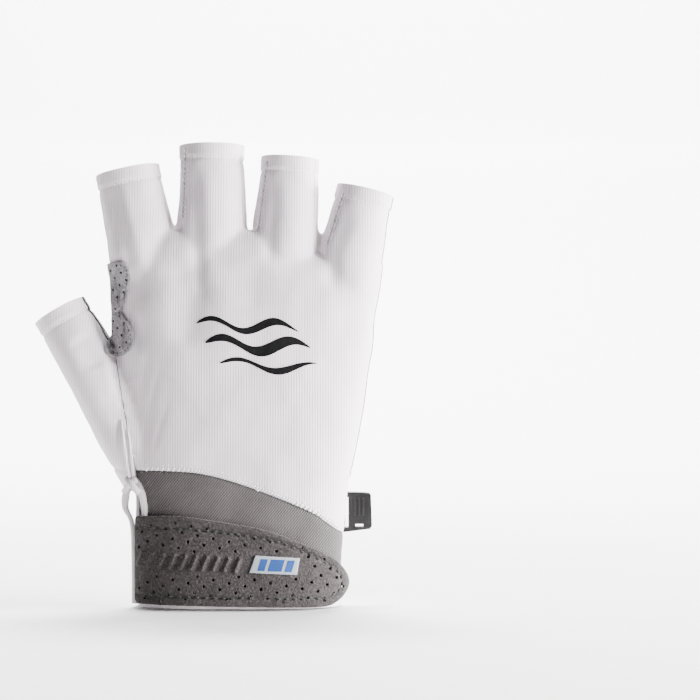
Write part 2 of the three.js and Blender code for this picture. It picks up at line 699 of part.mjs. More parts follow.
// Webbing: both ends are sewn to the cuff just behind its side seam, and the loop holds the bar
const barX = buckleCentre.x - mouth + buckleBar / 2;
const barClear = buckleBar / 2 + seamGap + webbingThickness / 2;
const webbingPath = [
  [-9, 0.8],
  [-6, -0.2],
  [-3, -1.5],
  [0, -barClear],
  [barClear * 0.86, -barClear * 0.86],
  [barClear, 0],
  [barClear * 0.86, barClear * 0.86],
  [0, barClear],
  [-3, 1.7],
  [-6, 1.5],
  [-9, 2.4],
];
function webbingForm() {
  const sections = webbingPath.map(([x, y], i) => {
    const [x0, y0] = webbingPath[Math.max(i - 1, 0)];
    const [x1, y1] = webbingPath[Math.min(i + 1, webbingPath.length - 1)];
    const along = new THREE.Vector2(x1 - x0, y1 - y0).normalize();
    const thick = new THREE.Vector3(-along.y, along.x, 0).multiplyScalar(webbingThickness / 2);
    return {
      centre: new THREE.Vector3(barX + x, buckleCentre.y + y, buckleCentre.z),
      across: new THREE.Vector3(0, 0, -webbingWidth / 2),
      front: thick.clone().negate(),
      back: thick,
    };
  });
  return solidOf(loft(sections, 12, 8));
}
const cuffOutside = cuffForm(grownBy(suedeProud + seamGap), -openEnd, strapTop + openEnd);
const webbing = webbingForm().subtract(cuffOutside);

const glove = new THREE.Group();
glove.name = "fishing_glove";
glove.add(
  meshOf("back_panel", backPanel, whiteKnit),
  meshOf("palm_panel", [1, 2].reduce((panel, i) => panel.add(pullTab(fingerRows[i])), biggest(palmPanel)), greySuede),
  meshOf("thumb_piece", thumbPiece, whiteKnit),
  ...gaps.map((index) =>
    meshOf(
      `side_strip_${fingerRows[index].name}_${fingerRows[index + 1].name}`,
      knitShell.intersect(strips[index]),
      whiteKnit,
    ),
  ),
  meshOf("cuff_gusset", gusset, greyTwill),
  meshOf("cuff_hem", cuffHem, whiteKnit),
  meshOf("slit_binding", slitBinding, whiteKnit),
  meshOf("thumb_crotch_patch", crotchPatch, greySuede),
  meshOf("closing_strap", strap, greySuede),
  meshOf("hook_patch", hookPatch, blackHook),
  meshOf("strap_label", label, whiteLabel),
  meshOf("buckle_webbing", webbing, blackWebbing),
  meshOf("buckle_socket", socket, blackPlastic),
);

export default glove;
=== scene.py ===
# %% [markdown]
# # A fingerless fishing glove
# This lesson dresses the plain solids of a right-hand fishing glove, seen from the back of the
# hand: white knit on the back, perforated grey suede on the palm, a grey twill gusset and a closing
# strap at the cuff, and the socket half of a small buckle. It stands in the shape that it has on a
# hand.
# Most cells make one kind of piece and print what they made.

import math
from collections import namedtuple

import bmesh
import bpy
import numpy as np
from mathutils import Matrix, Vector, noise
from mathutils.bvhtree import BVHTree


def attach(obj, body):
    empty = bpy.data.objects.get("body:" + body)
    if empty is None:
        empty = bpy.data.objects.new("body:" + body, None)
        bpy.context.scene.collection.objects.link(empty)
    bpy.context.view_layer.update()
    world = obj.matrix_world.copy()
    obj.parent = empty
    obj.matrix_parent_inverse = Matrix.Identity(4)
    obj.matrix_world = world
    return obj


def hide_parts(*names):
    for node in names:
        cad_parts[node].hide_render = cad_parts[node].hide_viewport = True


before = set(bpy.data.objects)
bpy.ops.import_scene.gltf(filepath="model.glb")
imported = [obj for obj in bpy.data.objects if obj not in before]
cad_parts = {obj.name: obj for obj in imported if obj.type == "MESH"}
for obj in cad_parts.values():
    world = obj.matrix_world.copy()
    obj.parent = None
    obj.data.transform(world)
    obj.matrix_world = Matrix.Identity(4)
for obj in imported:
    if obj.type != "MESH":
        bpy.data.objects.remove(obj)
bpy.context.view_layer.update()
print("solids in the frame:", len(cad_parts))

# %% [markdown]
# ## The camera
# The camera looks level at the back of the hand from 0.9 m away, which is a guess, through a long
# lens. It is aimed beside the glove, so that the glove stands left of the middle.

# %% Camera
MM = 0.001
FRAME_WIDTH = 269.5
CAMERA_DISTANCE = 900.0
FRAME_MIDDLE = (42.4, 97.8)

camera_data = bpy.data.cameras.new("studio_camera")
camera_data.sensor_width = 36
camera_data.lens = 36 * CAMERA_DISTANCE / FRAME_WIDTH
camera_data.clip_start = 0.05
camera = bpy.data.objects.new("studio_camera", camera_data)
camera.location = Vector((FRAME_MIDDLE[0], -CAMERA_DISTANCE, FRAME_MIDDLE[1])) * MM
camera.rotation_euler = (math.pi / 2, 0, 0)
bpy.context.scene.collection.objects.link(camera)
bpy.context.scene.camera = camera
print("lens:", round(camera_data.lens, 1), "mm")

# %% [markdown]
# ## Helpers for meshes
# Most shapes here start as a bmesh and end as an object that sits at the origin, unturned, with
# its place in its mesh. Modifiers that rebuild a mesh, such as Remesh and Boolean, are evaluated
# once and their result is kept, so later steps can work on it.

# %% From bmesh to object, and through a modifier
def object_from(bm, name):
    mesh = bpy.data.meshes.new(name)
    bm.to_mesh(mesh)
    bm.free()
    thing = bpy.data.objects.new(name, mesh)
    bpy.context.scene.collection.objects.link(thing)
    return thing


def keep_result(thing):
    graph = bpy.context.evaluated_depsgraph_get()
    mesh = bpy.data.meshes.new_from_object(thing.evaluated_get(graph))
    thing.modifiers.clear()
    old = thing.data
    thing.data = mesh
    bpy.data.meshes.remove(old)
    return thing


def with_modifier(thing, kind, **settings):
    modifier = thing.modifiers.new(kind.lower(), kind)
    for setting, value in settings.items():
        setattr(modifier, setting, value)
    return keep_result(thing)


def melted(thing, voxel, rounds):
    with_modifier(thing, "REMESH", mode="VOXEL", voxel_size=voxel, adaptivity=0)
    return with_modifier(thing, "SMOOTH", factor=0.5, iterations=rounds)


def copy_of(thing, name):
    twin = bpy.data.objects.new(name, thing.data.copy())
    bpy.context.scene.collection.objects.link(twin)
    return twin


def throw_away(*things):
    for thing in things:
        mesh = thing.data
        bpy.data.objects.remove(thing)
        bpy.data.meshes.remove(mesh)


def combine(thing, tool, how, keep_tool=False):
    with_modifier(thing, "BOOLEAN", operation=how, object=tool, solver="MANIFOLD")
    if not keep_tool:
        throw_away(tool)
    return thing


def joined(bms, name):
    whole = bmesh.new()
    for bm in bms:
        mesh = bpy.data.meshes.new("part")
        bm.to_mesh(mesh)
        bm.free()
        whole.from_mesh(mesh)
        bpy.data.meshes.remove(mesh)
    return object_from(whole, name)


# %% [markdown]
# ## The form of the hand
# A sewn glove takes its form from the hand in it: an oval cuff, a palm that widens to the
# knuckles, four stalls and a thumb. Each is a closed loft, which is a cylinder cut into rings and
# laid on a table's sections. All six are then melted into one skin by a voxel remesh, because that
# gives the soft valleys between the fingers that stretched cloth has.

# %% Tables of sections, in millimetres
HandRow = namedtuple("HandRow", "up left right front back drop")
HAND_ROWS = [
    HandRow(-6.0, 39.9, 38.9, 18.0, 18.0, 0.0),
    HandRow(0.0, 39.9, 38.9, 18.0, 18.0, 0.0),
    HandRow(20.2, 39.9, 39.1, 17.5, 17.8, 0.0),
    HandRow(46.2, 40.5, 42.0, 16.0, 17.0, 0.0),
    HandRow(69.9, 43.5, 46.5, 15.5, 17.5, 0.0),
    HandRow(94.9, 47.4, 50.2, 15.0, 16.0, 0.0),
    HandRow(112.0, 48.4, 52.2, 14.2, 14.5, 0.0),
    HandRow(122.0, 48.6, 53.6, 12.8, 13.0, 1.9),
    HandRow(131.9, 49.5, 54.6, 10.8, 11.0, 5.7),
    HandRow(138.0, 51.0, 55.0, 9.3, 9.6, 8.1),
    HandRow(142.0, 50.4, 54.5, 7.0, 7.5, 9.5),
    HandRow(144.5, 49.0, 53.0, 3.4, 3.6, 9.5),
]
FingerRow = namedtuple("FingerRow", "name across up half tip deep length lean root_lean")
FINGER_ROWS = [
    FingerRow("index", -38.5, 143.6, 12.9, 11.8, 10.4, 23.9, -12.0, -4.0),
    FingerRow("middle", -10.8, 144.9, 13.4, 12.2, 11.0, 31.4, 0.0, 0.0),
    FingerRow("ring", 17.3, 141.0, 12.9, 10.9, 10.6, 30.5, 3.8, 2.5),
    FingerRow("little", 42.7, 136.0, 12.3, 10.4, 9.7, 23.9, 13.5, 6.5),
]
ThumbRow = namedtuple("ThumbRow", "across up to_palm half deep")
THUMB_ROWS = [
    ThumbRow(-33.0, 48.0, 3.2, 12.0, 11.8),
    ThumbRow(-41.0, 64.0, 2.5, 13.0, 13.1),
    ThumbRow(-50.3, 80.1, 1.9, 12.2, 13.1),
    ThumbRow(-60.2, 97.0, 2.8, 11.4, 11.8),
    ThumbRow(-66.6, 107.7, 3.7, 10.5, 10.5),
    ThumbRow(-69.7, 113.0, 4.2, 10.0, 10.0),
]
BEND_HEIGHT = 130.0
FINGER_LEAN = math.radians(5)
HEM_HEIGHT = 5.0
HEM_PROUD = 0.4
OPEN_END = 4.0
HAND_POWER = 2.6
STALL_POWER = 2.2
DROP_FROM = 8
DROP_WIDTH = 22
STALL_REACH = 17
THUMB_REACH = 16


# %% Closed lofts
def power_of(value, power):
    return math.copysign(abs(value) ** (2 / power), value) if abs(value) > 1e-9 else 0.0


def closed_loft(rings, segments, power):
    """Each ring is a centre and three spans: across, to the front and to the back."""
    bm = bmesh.new()
    bmesh.ops.create_cone(bm, cap_ends=True, segments=segments, radius1=1, radius2=1, depth=1)
    upright = [e for e in bm.edges if abs(e.verts[0].co.z - e.verts[1].co.z) > 0.5]
    bmesh.ops.subdivide_edges(bm, edges=upright, cuts=len(rings) - 2)
    for vert in bm.verts:
        centre, across, front, back = rings[round((vert.co.z + 0.5) * (len(rings) - 1))]
        depth = power_of(vert.co.y, power)
        side = front if depth < 0 else back
        vert.co = centre + across * power_of(vert.co.x, power) + side * abs(depth)
    bmesh.ops.recalc_face_normals(bm, faces=bm.faces[:])
    return bm


def smooth_rows(rows, per_gap):
    """More rows between a table's rows, on a curve through them."""
    table = [np.array([x for x in row if not isinstance(x, str)], float) for row in rows]
    out = []
    for i in range(len(table) - 1):
        a = table[max(i - 1, 0)]
        b, c = table[i], table[i + 1]
        d = table[min(i + 2, len(table) - 1)]
        for step in range(per_gap):
            t = step / per_gap
            bend = (2 * a - 5 * b + 4 * c - d) * t**2
            twist = (3 * b - a - 3 * c + d) * t**3
            out.append(0.5 * (2 * b + (c - a) * t + bend + twist))
    out.append(table[-1])
    return out


def hand_form():
    rings = []
    drops = []
    for up, left, right, front, back, drop in smooth_rows(HAND_ROWS, 3):
        middle = Vector(((right - left) / 2, 0, up))
        across = Vector(((right + left) / 2, 0, 0))
        rings.append((middle, across, Vector((0, -front, 0)), Vector((0, back, 0))))
        drops.append(drop)
    bm = closed_loft(rings, 72, HAND_POWER)
    ups = [ring[0].z for ring in rings]
    for vert in bm.verts:
        drop = np.interp(vert.co.z, ups, drops)
        share = min(max((vert.co.x - DROP_FROM) / DROP_WIDTH, 0), 1)
        vert.co.z -= drop * share * share * (3 - 2 * share)
    return bm


print("hand form:", len(smooth_rows(HAND_ROWS, 3)), "rings")


# %% Stalls for the fingers and the thumb
def stall_rings(rows):
    """Rows of (centre, half width, half depth) as rings square to the line through the centres."""
    rings = []
    for i, (centre, half, deep) in enumerate(rows):
        along = (rows[min(i + 1, len(rows) - 1)][0] - rows[max(i - 1, 0)][0]).normalized()
        across = Vector((0, 1, 0)).cross(along).normalized()
        back = along.cross(across)
        rings.append((centre, across * half, back * -deep, back * deep))
    return rings


def thumb_place(row):
    return Vector((row.across, row.to_palm, row.up))


def on_finger(finger, distance):
    lean = math.radians(finger.lean if distance > 0 else finger.root_lean)
    height = finger.up + math.cos(lean) * distance
    across = finger.across + math.sin(lean) * distance
    return Vector((across, (height - BEND_HEIGHT) * math.tan(FINGER_LEAN), height))


def stall_ends():
    """The middle of each opening and the way it faces: the four fingers, then the thumb."""
    ends = [(on_finger(f, f.length), on_finger(f, f.length - OPEN_END)) for f in FINGER_ROWS]
    ends.append((thumb_place(THUMB_ROWS[-1]), thumb_place(THUMB_ROWS[-2])))
    return [(tip, (tip - below).normalized()) for tip, below in ends]


def finger_form(finger):
    length, half, deep = finger.length, finger.half, finger.deep
    rows = [
        (-30, half * 0.7, deep * 0.62),
        (-15, half * 0.93, deep * 0.9),
        (-7, half * 0.98, deep * 0.98),
        (0, half, deep),
        (length * 0.45, (half + finger.tip) / 2, deep * 0.955),
        (length, finger.tip, deep * 0.91),
        (length + OPEN_END, finger.tip, deep * 0.91),
    ]
    return closed_loft(stall_rings([(on_finger(finger, d), h, q) for d, h, q in rows]), 40, STALL_POWER)


def thumb_form():
    rows = [(Vector((x, y, z)), half, deep) for x, z, y, half, deep in smooth_rows(THUMB_ROWS, 3)]
    end, half, deep = rows[-1]
    along = (end - rows[-2][0]).normalized()
    rows.append((end + along * OPEN_END, half, deep))
    return closed_loft(stall_rings(rows), 40, STALL_POWER)


STALL_ENDS = stall_ends()
VOXEL = 0.9
skin = joined([hand_form(), thumb_form(), *[finger_form(f) for f in FINGER_ROWS]], "skin")
melted(skin, VOXEL, 10)
print("skin faces after the remesh:", len(skin.data.polygons))

# %% [markdown]
# ## Folds, hems and seam lines
# Cloth over a hand isn't smooth. Valleys run down from the gaps between the fingers, the cloth is
# pulled in along each seam, and a turned hem makes a band of double cloth at each opening. Each of
# these is a line on the front or back and a depth, and the skin's points move in or out by how near
# they are to it, as a sculpting brush would move them.

# %% Tables of lines, as seen from the back of the hand, in millimetres
FRONT = -1
BACK = 1
Fold = namedtuple("Fold", "side width depth path")
FOLDS = [
    Fold(FRONT, 2.4, -0.75, [(-49.5, 162), (-46.5, 150), (-43.5, 138), (-39.5, 124)]),
    Fold(FRONT, 2.6, 0.3, [(-44.5, 163), (-41.5, 150), (-38.5, 138), (-35.0, 126)]),
    Fold(FRONT, 2.6, -0.8, [(-17.5, 171), (-17.0, 158), (-16.2, 142), (-15.0, 126), (-13.0, 112)]),
    Fold(FRONT, 3.0, 0.25, [(-12.0, 168), (-11.0, 150), (-10.0, 134)]),
    Fold(FRONT, 2.8, -0.65, [(12.5, 165), (12.8, 152), (11.8, 141), (12.5, 128)]),
    Fold(FRONT, 3.0, -0.6, [(43.0, 153), (38.5, 141), (36.0, 131), (35.5, 118)]),
    Fold(FRONT, 7.0, -1.5, [(-22.0, 134), (-19.5, 124), (-18.0, 114), (-20.0, 96)]),
    Fold(FRONT, 6.0, -0.6, [(4.0, 132), (5.0, 122), (6.0, 112)]),
    Fold(FRONT, 3.0, -0.9, [(-40.5, 131), (-39.6, 121), (-41.5, 112), (-38.0, 104), (-40.0, 95)]),
    Fold(FRONT, 12.0, -2.1, [(-50.0, 138), (-46.5, 118), (-45.5, 102), (-44.0, 82), (-42.5, 56)]),
    Fold(FRONT, 1.6, -0.35, [(-34.0, 100), (-36.0, 88), (-37.5, 76)]),
    Fold(FRONT, 1.3, -0.3, [(-30.0, 92), (-33.5, 78), (-35.5, 64), (-37.0, 54)]),
    Fold(FRONT, 1.1, -0.25, [(-26.0, 80), (-30.0, 68), (-33.0, 57)]),
    Fold(FRONT, 1.6, 0.45, [(-43.6, 78), (-42.6, 66), (-41.8, 56), (-41.0, 48)]),
    Fold(FRONT, 1.2, -0.4, [(-46.5, 74), (-45.0, 64), (-43.8, 55), (-42.0, 48)]),
    Fold(FRONT, 5.0, -0.9, [(-62.0, 104), (-58.0, 98), (-54.0, 90)]),
    Fold(FRONT, 2.2, 0.35, [(-51.0, 97), (-50.0, 88), (-48.5, 78)]),
    Fold(BACK, 3.0, -0.7, [(-25.0, 142), (-21.0, 130), (-17.0, 118)]),
    Fold(BACK, 3.0, -0.7, [(4.0, 143), (4.0, 130), (3.0, 118)]),
    Fold(BACK, 3.0, -0.7, [(30.5, 134), (27.0, 124), (23.0, 114)]),
    Fold(BACK, 3.2, -1.2, [(-44.0, 104), (-36.0, 92), (-29.0, 76), (-25.0, 60), (-24.0, 44)]),
    Fold(BACK, 2.4, -0.6, [(-40.0, 112), (-20.0, 106), (6.0, 104), (34.0, 98)]),
    Fold(BACK, 2.6, -0.5, [(-30.0, 60), (-10.0, 36), (6.0, 22)]),
    Fold(BACK, 7.0, 1.2, [(-38.0, 78), (-32.0, 60), (-28.0, 44)]),
    Fold(BACK, 9.0, -1.6, [(0.0, 92), (4.0, 70), (2.0, 48)]),
    Fold(BACK, 7.0, 0.9, [(30.0, 88), (32.0, 66), (30.0, 46)]),
]
THUMB_SEAM = [(-59.0, 125.7), (-51.4, 104.4), (-49.0, 98.6), (-47.5, 94.6), (-44.5, 78.7),
              (-42.1, 66.5), (-39.5, 53), (-38.9, 43.3), (-38.4, 28.9), (-38.4, -7)]
GUSSET_SEAM = [(-93.6, 52), (-39.5, 51.9), (-18.2, 51.3), (-5.4, 48.8), (7.4, 44.6), (20.2, 39.5),
               (29.8, 35), (39.3, 28), (93.6, -7)]
THENAR_SEAM = [(-101.4, 79.5), (-56.5, 67.7), (-49.2, 62.5), (-41.8, 55.9), (-33.2, 45.5),
               (-27, 35), (-23.3, 24.6), (-20.3, 6.9), (-19.2, -7)]
HEEL_SEAM = [(93.6, 86.7), (52, 58.5), (44.7, 52), (39.5, 44.8), (29.5, 31.6), (17.2, 20.7),
             (4.9, 11.6), (-0.6, 6.9), (-3.1, -7)]


def curve_through(points, step):
    """Points about a step apart on a smooth curve through a table's points."""
    rows = smooth_rows(points, 12)
    out = [rows[0]]
    for row in rows[1:]:
        if np.linalg.norm(row - out[-1]) >= step:
            out.append(row)
    return np.array(out)


def distance_to(path, spots):
    """For each spot, its distance to a path and how far along the path that is, from 0 to 1."""
    best = np.full(len(spots), 1e9)
    share = np.zeros(len(spots))
    lengths = np.linalg.norm(np.diff(path, axis=0), axis=1)
    starts = np.concatenate([[0], np.cumsum(lengths)])
    for i, length in enumerate(lengths):
        way = (path[i + 1] - path[i]) / length
        t = np.clip((spots - path[i]) @ way, 0, length)
        away = np.linalg.norm(spots - path[i] - np.outer(t, way), axis=1)
        nearer = away < best
        best[nearer] = away[nearer]
        share[nearer] = (starts[i] + t[nearer]) / starts[-1]
    return best, share


def points_and_normals(mesh):
    points = np.empty(len(mesh.vertices) * 3)
    mesh.vertices.foreach_get("co", points)
    normals = np.empty(len(mesh.vertices) * 3)
    mesh.vertex_normals.foreach_get("vector", normals)
    return points.reshape(-1, 3), normals.reshape(-1, 3)


def soft_step(value, low, high):
    t = np.clip((value - low) / (high - low), 0, 1)
    return t * t * (3 - 2 * t)


def unevenness(spots, *layers):
    """Gentle lumps at each spot, in layers of (fineness, height)."""
    return np.array([sum(noise.noise(Vector(p) * fine) * high for fine, high in layers) for p in spots])


# %% Press the folds and pull the seams in
def fold_moves(points, normals):
    move = np.zeros(len(points))
    flat = points[:, [0, 2]]
    for fold in FOLDS:
        away, share = distance_to(curve_through(fold.path, 1.5), flat)
        ends = soft_step(np.minimum(share, 1 - share), 0, 0.22)
        facing = soft_step(fold.side * normals[:, 1], 0.05, 0.5)
        move += fold.depth * np.exp(-((away / fold.width) ** 2)) * ends * facing
    return move


def seam_moves(points, normals, path, side, depth, width, low=-99):
    """A seam above a height pulls the cloth in and puckers it."""
    away, _ = distance_to(curve_through(path, 1.0), points[:, [0, 2]])
    facing = soft_step(side * normals[:, 1], -0.25, 0.1)
    pull = np.exp(-((away / width) ** 2))
    pucker = 1 + 0.45 * np.sin(points[:, 2] * 1.15 + points[:, 0] * 0.7)
    return -depth * pull * pucker * facing * (points[:, 2] > low)


def strip_line(finger, away):
    """The line on the back, in from a stall's thumb side, where its side strip is sewn on."""
    line = []
    for share in np.linspace(0.1, 0.99, 6):
        axis = on_finger(finger, finger.length * share)
        half = finger.half + (finger.tip - finger.half) * share
        line.append((axis.x - half + away, axis.z))
    return line


def hem_moves(points):
    """The turned hem stands out as a band, with a groove where its stitching pulls it in."""
    move = np.zeros(len(points))
    for tip, facing in STALL_ENDS:
        along = np.array(facing)
        offset = points - np.array(tip)
        down = -offset @ along
        radial = np.linalg.norm(offset + np.outer(down, along), axis=1)
        near = (radial < STALL_REACH) & (down > -9) & (down < 14)
        band = soft_step(-down, -HEM_HEIGHT - 0.7, -HEM_HEIGHT + 0.2)
        groove = np.exp(-(((down - HEM_HEIGHT - 0.5) / 0.9) ** 2))
        flare = soft_step(-down, -3.0, 0.5) * 0.25
        move += near * (HEM_PROUD * band - 0.35 * groove + flare)
    return move


points, normals = points_and_normals(skin.data)
move = fold_moves(points, normals) + hem_moves(points)
move += seam_moves(points, normals, THUMB_SEAM, FRONT, 0.55, 1.3, low=44)
move += seam_moves(points, normals, GUSSET_SEAM, FRONT, 0.35, 1.0)
for finger in FINGER_ROWS[1:]:
    move += seam_moves(points, normals, strip_line(finger, 2.5), FRONT, 0.35, 0.75)
move += seam_moves(points, normals, THENAR_SEAM, BACK, 0.45, 1.3)
move += seam_moves(points, normals, HEEL_SEAM, BACK, 0.45, 1.3)
move += unevenness(points, (0.085, 0.45), (0.31, 0.08)) * soft_step(points[:, 2], 2, 14)
points += normals * move[:, None]
skin.data.vertices.foreach_set("co", points.ravel())
skin.data.update()
print("deepest fold:", round(float(move.min()), 2), "mm, proudest:", round(float(move.max()), 2), "mm")

# %% [markdown]
# ## Openings and walls
# The skin is still closed. Each stall and the cuff is cut off square with a plane, which leaves
# holes that a finger or a wrist goes through, and Solidify then gives the skin a wall. The knit is
# thin, and the synthetic suede is a little thicker and stands a little proud of it.

# %% Cut the openings
KNIT_WALL = 1.2
SUEDE_WALL = 1.5
SUEDE_PROUD = 0.3
RAY_START = 90
EVERYTHING = 999


def cut_off(bm, place, along, reach):
    """Cut away what lies beyond a plane, as far as a reach from the plane's place."""
    near = []
    for face in bm.faces:
        offset = face.calc_center_median() - place
        height = offset.dot(along)
        if height > -3 and (offset - along * height).length < reach:
            near.append(face)
    edges = {edge for face in near for edge in face.edges}
    verts = {vert for face in near for vert in face.verts}
    geometry = near + list(edges) + list(verts)
    bmesh.ops.bisect_plane(bm, geom=geometry, plane_co=place, plane_no=along, clear_outer=True)


bm = bmesh.new()
bm.from_mesh(skin.data)
cut_off(bm, Vector((0, 0, 0)), Vector((0, 0, -1)), EVERYTHING)
for tip, along in STALL_ENDS[:4]:
    cut_off(bm, tip, along, STALL_REACH)
cut_off(bm, *STALL_ENDS[4], THUMB_REACH)
loose = [v for v in bm.verts if not v.link_faces]
bmesh.ops.delete(bm, geom=loose, context="VERTS")
rims = [e for e in bm.edges if e.is_boundary]
bm.to_mesh(skin.data)
bm.free()
print("edges round the openings:", len(rims))


# %% Walls of knit and of suede
def wall_of(name, proud, thickness):
    wall = copy_of(skin, name)
    spots, ways = points_and_normals(wall.data)
    wall.data.vertices.foreach_set("co", (spots + ways * proud).ravel())
    return with_modifier(wall, "SOLIDIFY", thickness=thickness, offset=-1, use_rim=True)


def tree_of(thing):
    data = thing.data
    return BVHTree.FromPolygons([v.co[:] for v in data.vertices], [p.vertices[:] for p in data.polygons])


def seen_point(tree, x, z, side):
    """What a level ray from the front or the back meets first: a place and the normal there."""
    return tree.ray_cast(Vector((x, side * RAY_START, z)), Vector((0, -side, 0)))[:2]


knit = wall_of("knit_wall", 0, KNIT_WALL)
suede = wall_of("suede_wall", SUEDE_PROUD, SUEDE_WALL)
skin_tree = tree_of(skin)
print("knit wall faces:", len(knit.data.polygons), "suede wall faces:", len(suede.data.polygons))

# %% [markdown]
# ## Cutting out the pieces
# A pattern maker cuts flat pieces and sews them. Here the walls are already in shape, so each piece
# is cut out of them with straight-sided cutters whose outlines are the seams. Three tenths of a
# millimetre are left between neighbours, and read as the dark line of a seam.

# %% Cutters
GAP = 0.3
HEM_TOP = 6.8
FAR = 130
LOW = -7
HIGH = 230
SEAM_END = 93.6
THENAR_END = -101.4
GUSSET_EDGE = -1.3


AXIS_ORDER = {"X": (2, 0, 1), "Y": (0, 2, 1), "Z": (0, 1, 2)}


def slab(outline, low, high, axis="Y"):
    """A closed block along Y with an outline of (x, z), along X of (y, z) or along Z of (x, y)."""
    bm = bmesh.new()
    first, second, third = AXIS_ORDER[axis]
    corners = []
    for across, up in outline:
        spot = (across, up, low)
        corners.append(bm.verts.new((spot[first], spot[second], spot[third])))
    span = (0, 0, high - low)
    way = Vector((span[first], span[second], span[third]))
    face = bm.faces.new(corners)
    made = bmesh.ops.extrude_face_region(bm, geom=[face], use_keep_orig=True)["geom"]
    bmesh.ops.translate(bm, vec=way, verts=[v for v in made if isinstance(v, bmesh.types.BMVert)])
    bmesh.ops.recalc_face_normals(bm, faces=bm.faces[:])
    bmesh.ops.triangulate(bm, faces=bm.faces[:])
    return object_from(bm, "cutter")


def moved_right(path, distance):
    ways = np.gradient(path, axis=0)
    ways /= np.linalg.norm(ways, axis=1)[:, None]
    return path + np.stack([ways[:, 1], -ways[:, 0]], axis=1) * distance


def side_of(seam, moved, corners):
    line = moved_right(curve_through(seam, 1.2), moved)
    return slab([*map(tuple, line), *corners], -FAR, FAR)


def seam_half(profile, side, gap):
    line = [(y + side * gap, z) for y, z in profile]
    return slab([*line, (side * FAR, HIGH), (side * FAR, LOW)], -FAR, FAR, axis="X")


def thumb_half(side, gap):
    """The thumb's half is turned about the thumb, so palm suede shows along its inner edge."""
    half = seam_half(THUMB_PROFILE, side, gap)
    root = thumb_place(THUMB_ROWS[1])
    turn = Matrix.Rotation(THUMB_TURN, 4, STALL_ENDS[4][0] - root)
    half.data.transform(Matrix.Translation(root) @ turn @ Matrix.Translation(-root))
    return half


def lean_at(height):
    return max(height - BEND_HEIGHT, 0) * math.tan(FINGER_LEAN)


HAND_PROFILE = [(0, LOW), (0, BEND_HEIGHT), (lean_at(HIGH), HIGH)]
THUMB_PROFILE = [(0, LOW), (0, 42), (4.2, 113), (8.4, HIGH)]
THUMB_TURN = math.radians(-16)
FAR_RIGHT = [(FAR, LOW), (FAR, HIGH)]


def right_of_thumb_seam(moved):
    return side_of(THUMB_SEAM, moved, [*FAR_RIGHT, (THUMB_SEAM[0][0], HIGH)])


def left_of_thumb_seam(moved):
    return side_of(THUMB_SEAM, moved, [(-FAR, LOW), (-FAR, HIGH), (THUMB_SEAM[0][0], HIGH)])


def above_hem():
    return slab([(-FAR, HEM_TOP), (FAR, HEM_TOP), (FAR, HIGH), (-FAR, HIGH)], -FAR, FAR)


def wrap_back():
    """The back half of everything, from a millimetre in front of the middle."""
    return slab([(-1, LOW), (FAR, LOW), (FAR, HIGH), (-1, HIGH)], -FAR, FAR, axis="X")


def strip_cutter(index, grow):
    left, right = FINGER_ROWS[index], FINGER_ROWS[index + 1]
    far, near = 2.5 + grow, 6.8 + grow
    edge = right.across - right.tip
    half = [(left.across, far), ((left.across + edge) / 2, far + 0.6), (edge, near)]
    half.append((right.across, near))
    outline = [(x, -y) for x, y in half] + half[::-1]
    base = min(left.up, right.up) - 4.5 - grow - BEND_HEIGHT
    cutter = slab(outline, base, base + 90, axis="Z")
    turn = Matrix.Translation((0, 0, BEND_HEIGHT)) @ Matrix.Rotation(-FINGER_LEAN, 4, "X")
    cutter.data.transform(turn)
    return cutter


def meet(first, *others):
    for other in others:
        combine(first, other, "INTERSECT")
    return first


print("thumb seam points:", len(curve_through(THUMB_SEAM, 1.2)))

# %% The slit at the wrist
SlitRow = namedtuple("SlitRow", "across to_palm up")
SLIT_ROWS = [
    SlitRow(-40.5, -2.4, 0.6), SlitRow(-40.6, -2.7, 17.3), SlitRow(-41.2, -3.2, 31.1),
    SlitRow(-43.8, -3.7, 37.9), SlitRow(-42.6, -5.0, 45.1), SlitRow(-39.6, -7.0, 48.0),
    SlitRow(-36.9, -9.3, 43.4), SlitRow(-35.5, -9.9, 36.1), SlitRow(-35.9, -9.9, 28.9),
]
SLIT_INSIDE = [(-40.5, -7), (-40.6, 31), (-43.4, 37.9), (-42.1, 45.1), (-39.6, 48), (-36.9, 43.4),
               (-35.5, 36.1), (-35.9, 28.9), (-38.2, 26), (-38.2, -7)]


def slit_void():
    return slab(SLIT_INSIDE, -FAR, 0)


# %% Cut the pieces
strips = [combine(copy_of(knit, f"strip_{i}"), strip_cutter(i, 0), "INTERSECT") for i in range(3)]
all_strips = strip_cutter(0, GAP)
for i in (1, 2):
    combine(all_strips, strip_cutter(i, GAP), "UNION")

back_cutter = meet(
    seam_half(HAND_PROFILE, FRONT, GAP / 2),
    right_of_thumb_seam(-GAP / 2),
    side_of(GUSSET_SEAM, -GAP / 2, [(SEAM_END, HIGH), (-SEAM_END, HIGH)]),
)
heel_cutter = meet(wrap_back(), side_of(HEEL_SEAM, -GAP / 2, [(FAR, LOW), (FAR, HEEL_SEAM[0][1])]))
combine(back_cutter, heel_cutter, "UNION")
meet(back_cutter, above_hem())
combine(back_cutter, all_strips, "DIFFERENCE", keep_tool=True)
back_panel = combine(copy_of(knit, "glove_back"), back_cutter, "INTERSECT")

palm_cutter = meet(seam_half(HAND_PROFILE, BACK, GAP / 2), right_of_thumb_seam(0))
combine(palm_cutter, meet(thumb_half(BACK, GAP / 2), left_of_thumb_seam(-GAP)), "UNION")
meet(
    palm_cutter,
    side_of(THENAR_SEAM, -GAP / 2, [*FAR_RIGHT, (THENAR_END, HIGH)]),
    side_of(HEEL_SEAM, GAP / 2, [(-FAR, LOW), (-FAR, HIGH), (SEAM_END, HIGH)]),
    above_hem(),
)
combine(palm_cutter, all_strips, "DIFFERENCE", keep_tool=True)
palm_panel = combine(copy_of(suede, "glove_palm"), palm_cutter, "INTERSECT")

